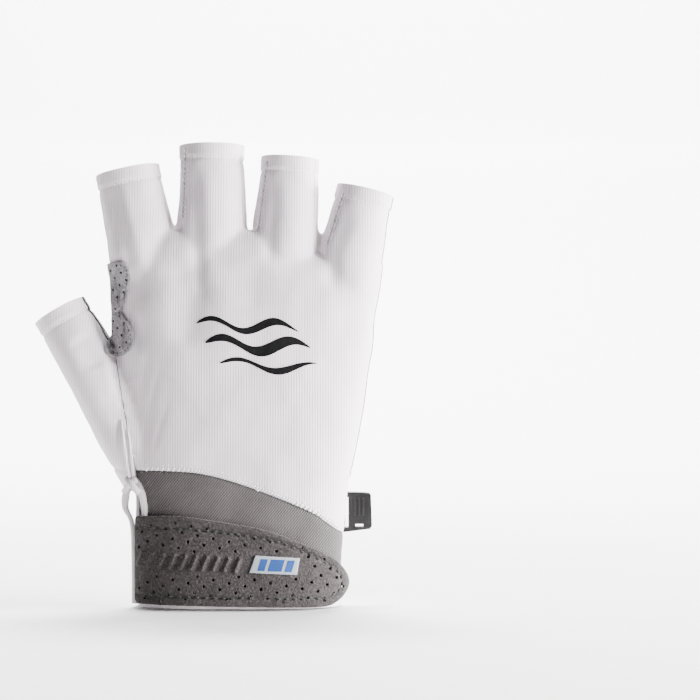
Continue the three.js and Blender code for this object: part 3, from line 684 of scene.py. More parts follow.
thumb_cutter = meet(thumb_half(FRONT, GAP / 2), left_of_thumb_seam(GAP / 2))
thenar_cutter = meet(wrap_back(), side_of(THENAR_SEAM, GAP / 2, [(THENAR_END, LOW)]))
combine(thumb_cutter, thenar_cutter, "UNION")
meet(thumb_cutter, above_hem())
combine(thumb_cutter, slit_void(), "DIFFERENCE")
thumb_piece = combine(copy_of(knit, "thumb_cloth"), thumb_cutter, "INTERSECT")

gusset_cutter = meet(
    slab([(-FAR, LOW), (GUSSET_EDGE, LOW), (GUSSET_EDGE, HIGH), (-FAR, HIGH)], -FAR, FAR, axis="X"),
    right_of_thumb_seam(-GAP / 2),
    side_of(GUSSET_SEAM, GAP / 2, [(-SEAM_END, LOW)]),
    above_hem(),
)
combine(gusset_cutter, slit_void(), "DIFFERENCE")
gusset = combine(copy_of(knit, "cuff_gusset_cloth"), gusset_cutter, "INTERSECT")
throw_away(all_strips, knit, suede)
for piece in [back_panel, palm_panel, thumb_piece, gusset, *strips]:
    print(piece.name, "faces:", len(piece.data.polygons))

# %% [markdown]
# ## The cuff's hem and the slit's binding
# The cuff ends in a turned hem of double knit all round. On the thumb side a slit lets the hand in,
# and a folded tape binds it: up one side, round a small loop and down under the strap.
# The hem is a rounded profile carried round the cuff, ring beside ring, and bridged to itself.

# %% Hem round the cuff
HEM_PROFILE = [(0.15, 0.0), (0.5, 0.35), (0.62, 1.2), (0.62, 5.2), (0.45, 6.1), (0.1, 6.5),
               (-1.2, 6.3), (-1.75, 5.8), (-1.9, 3.0), (-1.75, 0.7), (-1.2, 0.15)]

CUFF_MIDDLE = -0.5
CUFF_HALF_WIDTH = 39.4
CUFF_HALF_DEPTH = 18.0


def cuff_ring(bm, grow, height):
    verts = bmesh.ops.create_circle(bm, cap_ends=False, segments=150, radius=1)["verts"]
    for vert in verts:
        wave = noise.noise(Vector((vert.co.x * 5, vert.co.y * 5, height * 0.2))) * 0.22
        x = CUFF_MIDDLE + (CUFF_HALF_WIDTH + grow + wave) * power_of(vert.co.x, HAND_POWER)
        y = (CUFF_HALF_DEPTH + grow + wave) * power_of(vert.co.y, HAND_POWER)
        vert.co = (x, y, height)
    return list({edge for vert in verts for edge in vert.link_edges})


def cuff_hem_form():
    bm = bmesh.new()
    loops = [cuff_ring(bm, grow, height) for grow, height in HEM_PROFILE]
    for i, loop in enumerate(loops):
        bmesh.ops.bridge_loops(bm, edges=loop + loops[(i + 1) % len(loops)])
    bmesh.ops.recalc_face_normals(bm, faces=bm.faces[:])
    return bm


def tape_form(rows, half, deep, segments=12, power=2.6, per_gap=6, widths=None):
    """A tape or cord on a curve through rows of (across, to_palm, up)."""
    points = [Vector(row) for row in smooth_rows(rows, per_gap)]
    shares = np.linspace(0, 1, len(points))
    scale = np.ones(len(points)) if widths is None else np.interp(shares, *zip(*widths))
    rings = [(point, half * s, deep) for point, s in zip(points, scale)]
    return closed_loft(stall_rings(rings), segments, power)


cuff_hem = object_from(cuff_hem_form(), "cuff_hem_cloth")
combine(cuff_hem, slit_void(), "DIFFERENCE")
tape_clearance = object_from(tape_form(SLIT_ROWS, 1.3, 1.3), "clearance")
for piece in (cuff_hem, thumb_piece, gusset):
    combine(piece, tape_clearance, "DIFFERENCE", keep_tool=True)
throw_away(tape_clearance)
binding_widths = [(0, 0.9), (0.3, 0.95), (0.42, 1.5), (0.55, 1.3), (0.66, 1.4), (0.8, 1.5), (1, 1.2)]
slit_binding = object_from(tape_form(SLIT_ROWS, 1.0, 0.95, 16, 2.2, 8, binding_widths), "slit_tape")
print("hem faces:", len(cuff_hem.data.polygons))

# %% Welts that run down the thumb seam into the slit's knot
WELT_ROWS = [(-44.7, 71), (-43.9, 66), (-43.1, 59.5), (-42.2, 53), (-40.6, 47)]
SECOND_WELT_ROWS = [(-42.3, 68), (-41.6, 63), (-40.9, 57), (-40.4, 51), (-39.8, 47)]


def off_skin(across, up, away):
    """A point a little off the skin's front."""
    spot, normal = seen_point(skin_tree, across, up, FRONT)
    return spot + normal * away


def welt(name, rows, radius):
    path = [off_skin(a, u, radius * min(i - 0.5, 0.35)) for i, (a, u) in enumerate(rows)]
    shape = [(0, 0.1), (0.35, 0.7), (0.7, 1.0), (1, 0.8)]
    return object_from(tape_form([tuple(p) for p in path], radius, radius, 10, 2.2, 6, shape), name)


welts = [welt("seam_welt_outer", WELT_ROWS, 0.85), welt("seam_welt_inner", SECOND_WELT_ROWS, 0.7)]
KNOT_ROWS = [
    [(-44.0, -5.4, 43.4), (-42.8, -7.2, 45.2), (-41.0, -8.5, 47.0), (-38.9, -9.0, 48.8)],
    [(-42.9, -6.8, 48.8), (-41.6, -8.9, 47.3), (-39.8, -9.9, 45.4), (-37.9, -9.8, 43.2)],
]
knots = []
for i, rows in enumerate(KNOT_ROWS):
    knots.append(object_from(tape_form(rows, 1.25, 0.8, 14, 2.2, 6), f"slit_knot_{i}"))
print("welts:", len(welts), "knot strands:", len(knots))

# %% [markdown]
# ## Pull tabs
# The middle and ring stalls have tabs of palm suede to pull the glove off by. Here they fold over
# the opening's edge and hang down on the palm side. They are one piece with the palm, so they are
# united with it before it is pierced.

# %% Tabs on the middle and ring stalls
def tab_form(finger):
    tip = on_finger(finger, finger.length)
    wall = finger.deep * 0.91 + SUEDE_PROUD - SUEDE_WALL / 2 + 0.1
    curl = 2.0
    path = [(wall, -3.2, 0.8), (wall, -1.6, 0.8)]
    for angle in (30, 60, 90, 120, 150):
        t = math.radians(angle)
        path.append((wall + curl * (1 - math.cos(t)), -1.6 + curl * math.sin(t), 0.8 - angle / 1800))
    path += [(wall + 2 * curl + 0.1, -2.2, 0.68), (wall + 2 * curl + 0.5, -5.0, 0.6),
             (wall + 2 * curl + 1.1, -8.0, 0.5), (wall + 2 * curl + 1.5, -9.4, 0.44)]
    rings = []
    for i, (y, z, share) in enumerate(path):
        y0, z0, _ = path[max(i - 1, 0)]
        y1, z1, _ = path[min(i + 1, len(path) - 1)]
        along = Vector((0, y1 - y0, z1 - z0)).normalized()
        thick = Vector((0, along.z, -along.y)) * 0.65
        rings.append((tip + Vector((0, y, z)), Vector((finger.tip * share, 0, 0)), -thick, thick))
    return closed_loft(rings, 28, 7)


for finger in FINGER_ROWS[1:3]:
    combine(palm_panel, object_from(tab_form(finger), "tab"), "UNION")
print("palm with its tabs:", len(palm_panel.data.polygons), "faces")

# %% [markdown]
# ## The strap, the crotch patch and what is on them
# The strap and the patch are small pieces that the eye comes close to, so they are given a mesh
# of their own: a closed form 1.1 to 1.5 mm thick, remeshed finely, which rounds its cut edges as
# suede rounds. A small lens thickens the patch in the tight crease between the thumb and the hand,
# where its wall would tear. Stitching then pulls a groove into the strap.

# %% Outlines, as seen from the back of the hand
STRAP_OUTLINE = [(-38.8, 34.7), (-31.2, 35), (-22.6, 35.1), (-11.7, 33.8), (7.4, 30.6), (17.6, 27.5),
                 (29.8, 22.3), (37.4, 17.8), (41.2, 12.7), (42.2, 8.6), (40.6, 5.0), (37.4, 2.2),
                 (33, 0.7), (20.2, 0.7), (-15.6, 1.3), (-38.6, 1.5), (-39.6, 2.7), (-39.6, 33.7)]
PATCH_OUTLINE = [(-54.5, 130.4), (-46.4, 131.6), (-42.9, 130.6), (-41.5, 128), (-41.7, 122.5),
                 (-45.0, 112.6), (-42.6, 109.0), (-40.6, 105.8), (-39.9, 102.8), (-40.5, 99.2),
                 (-42.8, 96.5), (-46.8, 95.2), (-50.0, 96.3), (-51.3, 98.6), (-50.8, 101.2),
                 (-49.9, 104.2), (-50.5, 108), (-51.0, 112), (-52.6, 116), (-54.8, 124)]
STRAP_LIES = (1.4, 2.4, 1.6)
STRAP_BACK = -3.6
CREASE_PLACE = (-49.1, -0.2, 100.9)
CREASE_RADII = (1.8, 0.65, 1.6)


def rounded_outline(points, step, straight=0):
    """A closed outline on a curve; the last points may be kept as plain corners."""
    rounded = points[:-straight] if straight else [*points, points[0]]
    line = [tuple(p) for p in curve_through(rounded, step)[:-1]]
    return line + points[-straight - 1 :] if straight else line


def cuff_form(distance):
    """The cuff's form, grown to a distance from where the strap lies."""
    more_left, more_right, more_front = [side + distance for side in STRAP_LIES]
    rings = []
    for up, left, right, front, back, _ in smooth_rows(HAND_ROWS[:5], 4):
        middle = Vector(((right + more_right - left - more_left) / 2, 0, up))
        across = Vector(((left + more_left + right + more_right) / 2, 0, 0))
        rings.append((middle, across, Vector((0, -front - more_front, 0)), Vector((0, back, 0))))
    return object_from(closed_loft(rings, 120, HAND_POWER), "cuff_form")


def layer(name, inside, outside, outline):
    """A sheet round the cuff between two distances."""
    sheet = meet(cuff_form(outside), slab(outline, -FAR, STRAP_BACK))
    combine(sheet, cuff_form(inside), "DIFFERENCE")
    sheet.name = name
    return sheet


def biggest_part(thing):
    """Drop the crumbs that a cut along a curve can leave."""
    bm = bmesh.new()
    bm.from_mesh(thing.data)
    left = set(bm.verts)
    parts = []
    while left:
        part = {left.pop()}
        edge_of_part = list(part)
        while edge_of_part:
            vert = edge_of_part.pop()
            for edge in vert.link_edges:
                other = edge.other_vert(vert)
                if other in left:
                    left.discard(other)
                    part.add(other)
                    edge_of_part.append(other)
        parts.append(part)
    parts.sort(key=len)
    crumbs = [vert for part in parts[:-1] for vert in part]
    bmesh.ops.delete(bm, geom=crumbs, context="VERTS")
    bm.to_mesh(thing.data)
    bm.free()
    return thing


def fine_mesh(thing, voxel, rounds):
    return melted(thing, voxel * (1), rounds)


strap = layer("closing_strap_suede", 0, SUEDE_WALL, rounded_outline(STRAP_OUTLINE, 1.2, 3))
strap = fine_mesh(strap, 0.42, 4)
patch_wall = wall_of("crotch_patch_suede", 1.35, 1.1)
patch = combine(patch_wall, slab(rounded_outline(PATCH_OUTLINE, 0.8), -FAR, 6), "INTERSECT")
crease = bmesh.new()
at_crease = Matrix.Translation(CREASE_PLACE) @ Matrix.Diagonal((*CREASE_RADII, 1))
bmesh.ops.create_uvsphere(crease, u_segments=16, v_segments=10, radius=1, matrix=at_crease)
patch = combine(biggest_part(patch), object_from(crease, "crease_filler"), "UNION")
patch = fine_mesh(biggest_part(patch), 0.36, 5)
print("strap faces:", len(strap.data.polygons), "patch faces:", len(patch.data.polygons))


# %% Grooves, pleats and raised marks
def press(thing, lines):
    """Move the front's points along their normals by lines of (path, width, depth)."""
    spots, ways = points_and_normals(thing.data)
    shift = np.zeros(len(spots))
    facing = soft_step(FRONT * ways[:, 1], 0.1, 0.5)
    for path, width, depth in lines:
        away, share = distance_to(np.array(path, float), spots[:, [0, 2]])
        ends = soft_step(np.minimum(share, 1 - share), -0.02, 0.06) if len(path) < 20 else 1
        shift += depth * np.exp(-((away / width) ** 2)) * facing * ends
    rough = unevenness(spots, (0.5, 0.1), (1.6, 0.05))
    spots += ways * (shift + rough * 0.6)[:, None]
    thing.data.vertices.foreach_set("co", spots.ravel())
    thing.data.update()


def raised_mark(i):
    x = MARK_START + i * MARK_PITCH
    top = MARK_TOP - i * MARK_FALL
    return [(x - 1.5, top - 5.6), (x - 0.3, top - 2.8), (x + 0.9, top)], 0.75, 0.85


STRAP_STITCHING = [(-38.6, 30.3), (-28, 30.7), (-14, 29.9), (-2, 28.6), (7.4, 27.3), (17.6, 24.6),
                   (29.8, 19.4), (36.2, 15.4), (39.0, 12.2), (39.7, 9.0), (38.3, 6.3), (35.4, 4.6),
                   (30, 4.0), (20, 4.1), (0, 4.4), (-20, 4.7), (-38.4, 4.9)]
MARK_COUNT = 10
MARK_START = -36.6
MARK_PITCH = 4.1
MARK_TOP = 21.6
MARK_FALL = 0.22
raised = [raised_mark(i) for i in range(MARK_COUNT)]
press(strap, [(curve_through(STRAP_STITCHING, 1.2), 0.6, -0.7), *raised])
pleats = [
    ([(-44.4, 109.5), (-44.0, 104.5), (-44.6, 99.0)], 0.5, -1.1),
    ([(-42.8, 109.3), (-41.8, 105.0), (-41.7, 101.0)], 0.45, 0.4),
    ([(-44.3, 121.8), (-45.2, 117.0), (-46.6, 112.6)], 0.5, 0.5),
    ([(-43.6, 121.0), (-44.5, 116.5), (-45.7, 112.6)], 0.5, -0.7),
    ([(-49.3, 112.9), (-47.0, 112.5), (-44.8, 112.4)], 1.2, -0.5),
    ([(-47.8, 110.5), (-48.6, 105.0), (-49.4, 101.0)], 1.0, -0.35),
]
press(patch, pleats)
print("raised marks on the strap:", len(raised))

# %% [markdown]
# ## Perforations
# The suede is pierced in a square grid, 4.3 mm apart and closer on the patch, turned by 34 degrees,
# with holes about a millimetre wide. Each hole is a real one: a small punch with a flared head is
# set on the surface, square to it, and all punches are cut out of the suede at once. The walls that
# a punch leaves below the surface get a dark material, a painted shade inside each hole.

# %% Punches on a turned grid
HOLE_PITCH = 4.3
HOLE_RADIUS = 0.58
GRID_TURN = math.radians(34)
GRID_MIDDLE = 90
GRID_REACH = 50
DEEPEST_STEP = 3
SUEDE_FACE = bpy.data.materials.new("suede_face")
PAINTED_HOLE_SHADE_SLOT = bpy.data.materials.new("painted_hole_shade_slot")


def punch_mesh(depth):
    bm = bmesh.new()
    bmesh.ops.create_circle(bm, cap_ends=True, segments=8, radius=HOLE_RADIUS)
    bmesh.ops.translate(bm, vec=(0, 0, -depth), verts=bm.verts[:])
    base = face = next(iter(bm.faces))
    for height, flare in ((-0.25, 1.0), (0.12, 1.5)):
        made = bmesh.ops.extrude_face_region(bm, geom=[face])["geom"]
        if face is not base:
            bmesh.ops.delete(bm, geom=[face], context="FACES_ONLY")
        face = next(g for g in made if isinstance(g, bmesh.types.BMFace))
        for vert in face.verts:
            vert.co = (vert.co.x * flare, vert.co.y * flare, height)
    bmesh.ops.recalc_face_normals(bm, faces=bm.faces[:])
    # Faces below the surface, the hole's walls, take the second slot, which gets a dark material:
    # painted shade inside the hole.
    for face in bm.faces:
        face.material_index = 1 if max(v.co.z for v in face.verts) < 0 else 0
    mesh = bpy.data.meshes.new("punch")
    bm.to_mesh(mesh)
    bm.free()
    return mesh


def add_copy(bm, mesh, place):
    """One more copy of a small mesh, laid down by a matrix."""
    first = len(bm.verts)
    bm.from_mesh(mesh)
    bm.verts.ensure_lookup_table()
    bmesh.ops.transform(bm, matrix=place, verts=bm.verts[first:])


def grid_points(pitch):
    cosine, sine = math.cos(GRID_TURN), math.sin(GRID_TURN)
    for i in range(-GRID_REACH, GRID_REACH + 1):
        for j in range(-GRID_REACH, GRID_REACH + 1):
            u, v = i * pitch, j * pitch
            yield u * cosine - v * sine, GRID_MIDDLE + u * sine + v * cosine


def pierce(thing, side, depth, keep=None, steepest=0.3, clear=1.3, size=1.0, pitch=HOLE_PITCH):
    """Holes where the grid meets the suede, is clear of its edges and may be kept."""
    tree = tree_of(thing)
    punch = punch_mesh(depth)
    bm = bmesh.new()
    count = 0
    ring = [(clear, 0), (-clear, 0), (0, clear), (0, -clear)]
    for x, z in grid_points(pitch):
        if keep and not keep(x, z):
            continue
        spot, normal = seen_point(tree, x, z, side)
        if spot is None or side * normal.y < steepest:
            continue
        near = [seen_point(tree, x + a, z + b, side)[0] for a, b in ring]
        if any(n is None or abs(n.y - spot.y) > DEEPEST_STEP for n in near):
            continue
        turn = Vector((0, 0, 1)).rotation_difference(normal).to_matrix().to_4x4()
        add_copy(bm, punch, Matrix.Translation(spot) @ turn @ Matrix.Scale(size, 4))
        count += 1
    punches = object_from(bm, "punches")
    for each in (thing, punches):
        each.data.materials.append(SUEDE_FACE)
        each.data.materials.append(PAINTED_HOLE_SHADE_SLOT)
    combine(thing, punches, "DIFFERENCE")
    return count


def off_the_marks(x, z):
    on_marks = -40.0 < x < 3.5 and 13.2 < z < 22.6 - 0.05 * (x + 35)
    on_label = 2.5 < x < 25.5 and 11.5 < z < 22
    return not (on_marks or on_label)


def off_the_crotch(x, z):
    return math.hypot(x + 49.5, z - 100.2) > 3.2


print("holes in the palm:", pierce(palm_panel, BACK, SUEDE_WALL + 1.2))
print("holes in the strap:", pierce(strap, FRONT, 2.4, off_the_marks, 0.2))
print("holes in the patch:", pierce(patch, FRONT, 2.0, off_the_crotch, 0.2, 0.7, 0.85, 3.3))
print("palm faces:", len(palm_panel.data.polygons))

# %% [markdown]
# ## Hook tape, label, webbing and buckle socket
# Behind the strap's loose end sits a patch of black hook tape, which grips the twill. On its face a
# small woven tab is sewn. At the heel of the hand a loop of webbing carries the socket half of a
# small side-release clip.

# %% Layers on the strap
HOOK_OUTLINE = [(6.4, 8.2), (6.4, 27.5), (17.2, 24.9), (29.0, 20.0), (36.4, 15.9), (39.2, 12),
                (39.9, 9.2), (38.4, 8.0)]
LABEL_OUTLINE = [(4.5, 14.0), (22.4, 13.0), (23.5, 19.4), (6.8, 20.5)]
hook_patch = layer("hook_tape_black", -1.1, -0.3, HOOK_OUTLINE)
label = fine_mesh(layer("woven_tab", 1.45, 2.1, LABEL_OUTLINE), 0.22, 3)
LABEL_BARS = [
    [(7.6, 14.8), (10.2, 14.7), (11.6, 19.1), (9.0, 19.2)],
    [(11.4, 14.6), (16.6, 14.4), (17.9, 18.8), (12.8, 19.0)],
    [(17.8, 14.3), (20.4, 14.2), (21.7, 18.5), (19.1, 18.6)],
]
bars = [layer("bar", 1.9, 2.22, outline) for outline in LABEL_BARS]
print("label faces:", len(label.data.polygons))

# %% Webbing loop
BAR_CENTRE = Vector((37.98, 15.03, 34.5))
WEBBING_PATH = [(-9, 0.8), (-6, -0.2), (-3, -1.5), (-1.2, -1.95), (0, -2.05), (1.3, -1.6),
                (1.95, -0.8), (2.05, 0), (1.95, 0.8), (1.3, 1.6), (0, 2.05), (-1.2, 2.0), (-3, 1.8),
                (-6, 1.65), (-9, 2.4)]
WEBBING_HALF = (5, 0.55)


def webbing_form():
    rows = smooth_rows([(x, y, 0) for x, y in WEBBING_PATH], 3)
    rings = []
    for i, (x, y, _) in enumerate(rows):
        x0, y0, _ = rows[max(i - 1, 0)]
        x1, y1, _ = rows[min(i + 1, len(rows) - 1)]
        along = Vector((x1 - x0, y1 - y0, 0)).normalized()
        thick = Vector((-along.y, along.x, 0)) * WEBBING_HALF[1]
        width = Vector((0, 0, WEBBING_HALF[0]))
        rings.append((BAR_CENTRE + Vector((x, y, 0)), width, -thick, thick))
    return closed_loft(rings, 24, 6)


webbing = object_from(webbing_form(), "webbing_loop")

# %% Socket half of the clip
SOCKET_OUTLINE = [(37.0, 26.9), (38.2, 26.5), (50.2, 28.0), (51.0, 29.2), (50.6, 41.2),
                  (49.8, 42.0), (38.6, 42.5), (37.0, 42.0)]


def box_at(x0, x1, y0, y1, z0, z1):
    """A block between two places on each axis."""
    bm = bmesh.new()
    middle = Matrix.Translation(((x0 + x1) / 2, (y0 + y1) / 2, (z0 + z1) / 2))
    bmesh.ops.create_cube(bm, size=1, matrix=middle @ Matrix.Diagonal((x1 - x0, y1 - y0, z1 - z0, 1)))
    return object_from(bm, "block")


socket = slab(SOCKET_OUTLINE, 11.9, 18.1)
socket.name = "buckle_socket_plastic"
for cut in [
    (42.6, 60, 13.3, 16.7, 29.4, 40.6),
    (36.0, 40.6, 13.0, 17.0, 28.6, 40.4),
    (40.2, 41.7, 10, 20, 28.6, 40.4),
    (44.5, 47.6, 10, 14.5, 28.7, 29.9),
    (44.5, 47.6, 14.5, 20, 28.7, 29.9),
    (43.4, 48.4, 14.0, 16.0, 20, 31),
    (43.4, 48.4, 14.0, 16.0, 39, 50),
]:
    combine(socket, box_at(*cut), "DIFFERENCE")
combine(socket, box_at(37.1, 38.9, 14.1, 15.9, 27.5, 41.5), "UNION")
with_modifier(socket, "BEVEL", width=0.35, segments=3, limit_method="ANGLE",
              angle_limit=math.radians(35), use_clamp_overlap=True)
for x in (44.0, 45.6, 47.2):
    rib = box_at(x, x + 0.7, 11.55, 12.1, 33.2, 40.2)
    with_modifier(rib, "BEVEL", width=0.2, segments=2, limit_method="ANGLE")
    combine(socket, rib, "UNION")
print("socket faces:", len(socket.data.polygons))

# %% [markdown]
# ## Stitching
# Lockstitch shows on a surface as short stitches in a row, each sunk at its ends. One stitch is a
# small stretched ball of thirty faces. It is copied along each seam, square to the cloth.
# Rays cast at the finished pieces find where each stitch lies. Two rows are no stitching: a light
# grey row beside each side strip and a dark row under the gusset's overlock are painted seam shadow.

# %% Rows of stitches
def stitch_mesh():
    bm = bmesh.new()
    bmesh.ops.create_uvsphere(bm, u_segments=6, v_segments=5, radius=1)
    mesh = bpy.data.meshes.new("stitch")
    bm.to_mesh(mesh)
    bm.free()
    return mesh


ONE_STITCH = stitch_mesh()
RAYS_ROUND = 400
LONGEST_STEP = 4
THREADS = {name: bmesh.new() for name in ("white_thread", "dark_thread_and_seam_shade", "seam_shadow_thread")}


def sew(thread, spots, length=1.1, radius=0.22, lift=0.05, turn=0.0):
    """Stitches centred between neighbouring spots of (place, normal)."""
    bm = THREADS[thread]
    for (place, normal), (after, _) in zip(spots, spots[1:]):
        if place is None or after is None or (after - place).length > LONGEST_STEP:
            continue
        along = (after - place).normalized()
        if turn:
            along = Matrix.Rotation(math.radians(turn), 3, normal) @ along
        side = normal.cross(along).normalized()
        up = along.cross(side)
        shape = Matrix((along * length / 2, side * radius, up * radius)).transposed().to_4x4()
        add_copy(bm, ONE_STITCH, Matrix.Translation((place + after) / 2 + normal * lift) @ shape)


def seen_spots(tree, line, side, steepest=0.12, from_x=-FAR):
    spots = []
    for x, z in line:
        spot, normal = seen_point(tree, x, z, side)
        good = spot is not None and side * normal.y > steepest and spot.x > from_x
        spots.append((spot, normal) if good else (None, None))
    return spots


def beside_seam(seam, reach, pitch, offset):
    """A line beside a seam, without the seam's far ends."""
    return moved_right(curve_through([p for p in seam if abs(p[0]) < reach], pitch), offset)


def ring_spots(tree, centre, along, pitch, reach=30):
    """Spots round a stall, in the plane across it."""
    first = along.cross(Vector((0, 1, 0))).normalized()
    second = along.cross(first).normalized()
    spots = []
    for i in range(RAYS_ROUND):
        angle = 2 * math.pi * i / RAYS_ROUND
        way = first * math.cos(angle) + second * math.sin(angle)
        spot, normal, _, _ = tree.ray_cast(centre + way * reach, -way)
        if spot is not None:
            spots.append((spot, normal))
    chosen = [spots[0]]
    for spot in spots[1:]:
        if (spot[0] - chosen[-1][0]).length >= pitch:
            chosen.append(spot)
    return chosen


for finger in FINGER_ROWS:
    below = on_finger(finger, finger.length - HEM_HEIGHT - 0.6)
    along = (on_finger(finger, finger.length) - below).normalized()
    sew("white_thread", ring_spots(skin_tree, below, along, 1.5), 1.1, 0.2)
tip, along = STALL_ENDS[4]
below = tip - along * (HEM_HEIGHT + 0.6)
sew("white_thread", ring_spots(skin_tree, below, along, 1.5), 1.1, 0.2)
in_hem = Vector((CUFF_MIDDLE, 0, 5.4))
sew("white_thread", ring_spots(tree_of(cuff_hem), in_hem, Vector((0, 0, 1)), 1.9, 60), 1.3, 0.24)

for thread, pitch, offset, from_x, look in (
    ("white_thread", 0.95, -0.85, -39, (1.9, 0.36, 0.16, 62)),
    # This dark row under the overlock is painted seam shadow.
    ("dark_thread_and_seam_shade", 0.9, 0.25, -38.5, (1.5, 0.2, -0.06)),
    ("white_thread", 2.0, -2.3, -38.5, (1.2, 0.17)),
):
    line = beside_seam(GUSSET_SEAM, 60, pitch, offset)
    sew(thread, seen_spots(skin_tree, line, FRONT, 0, from_x), *look)
print("stitches so far:", len(THREADS["white_thread"].verts) // len(ONE_STITCH.vertices))

# %% Stitching in the suede
strap_seam = curve_through(STRAP_STITCHING, 2.6)
sew("dark_thread_and_seam_shade", seen_spots(tree_of(strap), strap_seam, FRONT), 1.7, 0.42, 0.45)
patch_seam = moved_right(curve_through([*PATCH_OUTLINE, PATCH_OUTLINE[0]], 1.9), 1.3)
sew("dark_thread_and_seam_shade", seen_spots(tree_of(patch), patch_seam, FRONT), 1.3, 0.2, -0.03)
palm_tree = tree_of(palm_panel)
for seam, offset in ((THENAR_SEAM, -1.6), (HEEL_SEAM, 1.6)):
    line = beside_seam(seam, 70, 2.1, offset)
    sew("dark_thread_and_seam_shade", seen_spots(palm_tree, line, BACK), 1.5, 0.23, -0.02)
print("grey stitches:", len(THREADS["dark_thread_and_seam_shade"].verts) // len(ONE_STITCH.vertices))

# %% Stitching beside the fingers' side strips
# The light grey row beside each white ridge is painted seam shadow.
for finger in FINGER_ROWS[1:]:
    for thread, away, length, size in (
        ("seam_shadow_thread", 2.55, 1.7, 0.13),
        ("white_thread", 2.05, 1.7, 0.36),
        ("white_thread", 3.4, 1.05, 0.17),
    ):
        line = curve_through(strip_line(finger, away), 1.5)
        sew(thread, seen_spots(skin_tree, line, FRONT), length, size)
threads = [object_from(bm, name) for name, bm in THREADS.items()]
for thread in threads:
    print(thread.name, "faces:", len(thread.data.polygons))

# %% [markdown]
# ## The print on the back
# The back carries a screen print, here three black ribbons of plain waves. A print is a thin film,
# so each ribbon is a grid laid on the knit, a tenth of a millimetre proud, with tapered ends.

# %% Wave ribbons
Ribbon = namedtuple("Ribbon", "start end rise swing turns width")
RIBBONS = [
    Ribbon(-16, 23, 107.0, 2.1, 1.6, 3.7),
    Ribbon(-12.5, 27.5, 99.6, 2.3, 1.5, 5.3),
    Ribbon(-7, 30, 91.8, 1.9, 1.3, 3.0),
]


def ribbon_form(ribbon):
    bm = bmesh.new()
    bmesh.ops.create_grid(bm, x_segments=120, y_segments=6, size=1)
    for vert in bm.verts:
        share = (vert.co.x + 1) / 2
        x = ribbon.start + (ribbon.end - ribbon.start) * share
        wave = math.sin(2 * math.pi * ribbon.turns * share) * ribbon.swing
        half = ribbon.width / 2 * math.sin(math.pi * share) ** 0.55 * (0.75 + 0.25 * math.cos(9 * share))
        lean = (share - 0.5) * -2.0
        up = ribbon.rise + wave + lean + vert.co.y * max(half, 0.02)
        vert.co = off_skin(x, up, 0.06)
    return bm


print_film = joined([ribbon_form(r) for r in RIBBONS], "screen_print")
with_modifier(print_film, "SOLIDIFY", thickness=0.14, offset=0, use_rim=True)
print("print faces:", len(print_film.data.polygons))

# %% [markdown]
# ## Materials
# Each material starts from a typical value for the real one. Colours are given as hex, as a
# picture shows them, and turned to linear by one function. Patterns read Object coordinates, in
# metres, so a mapping by a thousand gives millimetres, and each pattern's pitch is a real size.

# %% Node helpers
def linear(hex_colour):
    values = [int(hex_colour[i : i + 2], 16) / 255 for i in (1, 3, 5)]
    return (*[v / 12.92 if v <= 0.04045 else ((v + 0.055) / 1.055) ** 2.4 for v in values], 1.0)


def add(tree, kind, inputs=(), **settings):
    """One node, its settings, and its inputs given as values or as sockets to link."""
    node = tree.nodes.new("ShaderNode" + kind)
    for setting, value in settings.items():
        setattr(node, setting, value)
    for key, value in dict(inputs).items():
        socket = node.inputs[key]
        if isinstance(value, bpy.types.NodeSocket):
            tree.links.new(value, socket)
        else:
            socket.default_value = value
    return node


def new_material(name, **shader_values):
    material = bpy.data.materials.new(name)
    material.use_nodes = True
    tree = material.node_tree
    shader = tree.nodes["Principled BSDF"]
    for key, value in shader_values.items():
        shader.inputs[key.replace("_", " ")].default_value = value
    place = add(tree, "TexCoord").outputs["Object"]
    size = add(tree, "Mapping", {"Vector": place, "Scale": (1000, 1000, 1000)})
    return material, tree, shader, size.outputs["Vector"]


def dress(tree, shader, colour, height, strength, depth):
    """Give a shader its colour, and a relief of a depth in metres."""
    tree.links.new(colour, shader.inputs["Base Color"])
    bump = add(tree, "Bump", {"Height": height, "Strength": strength, "Distance": depth})
    tree.links.new(bump.outputs["Normal"], shader.inputs["Normal"])


def bands(tree, where, direction, pitch, distortion, detail=1.0):
    """Sine bands of one pitch in millimetres: the texture repeats every 0.31416 over its scale."""
    values = {"Vector": where, "Scale": 0.31416 / pitch, "Distortion": distortion, "Detail": detail}
    return add(tree, "TexWave", values, wave_type="BANDS", bands_direction=direction).outputs["Fac"]


def clouds(tree, where, scale, detail, roughness=0.5):
    values = {"Vector": where, "Scale": scale, "Detail": detail, "Roughness": roughness}
    return add(tree, "TexNoise", values).outputs["Fac"]


def blend_colours(tree, share, first, second):
    return add(tree, "Mix", {0: share, 6: first, 7: second}, data_type="RGBA").outputs[2]


def math_of(tree, operation, *values):
    return add(tree, "Math", dict(enumerate(values)), operation=operation).outputs[0]


def spread(tree, value, low, high, to_low=0.0, to_high=1.0):
    inputs = {"Value": value, "From Min": low, "From Max": high, "To Min": to_low, "To Max": to_high}
    return add(tree, "MapRange", inputs).outputs["Result"]
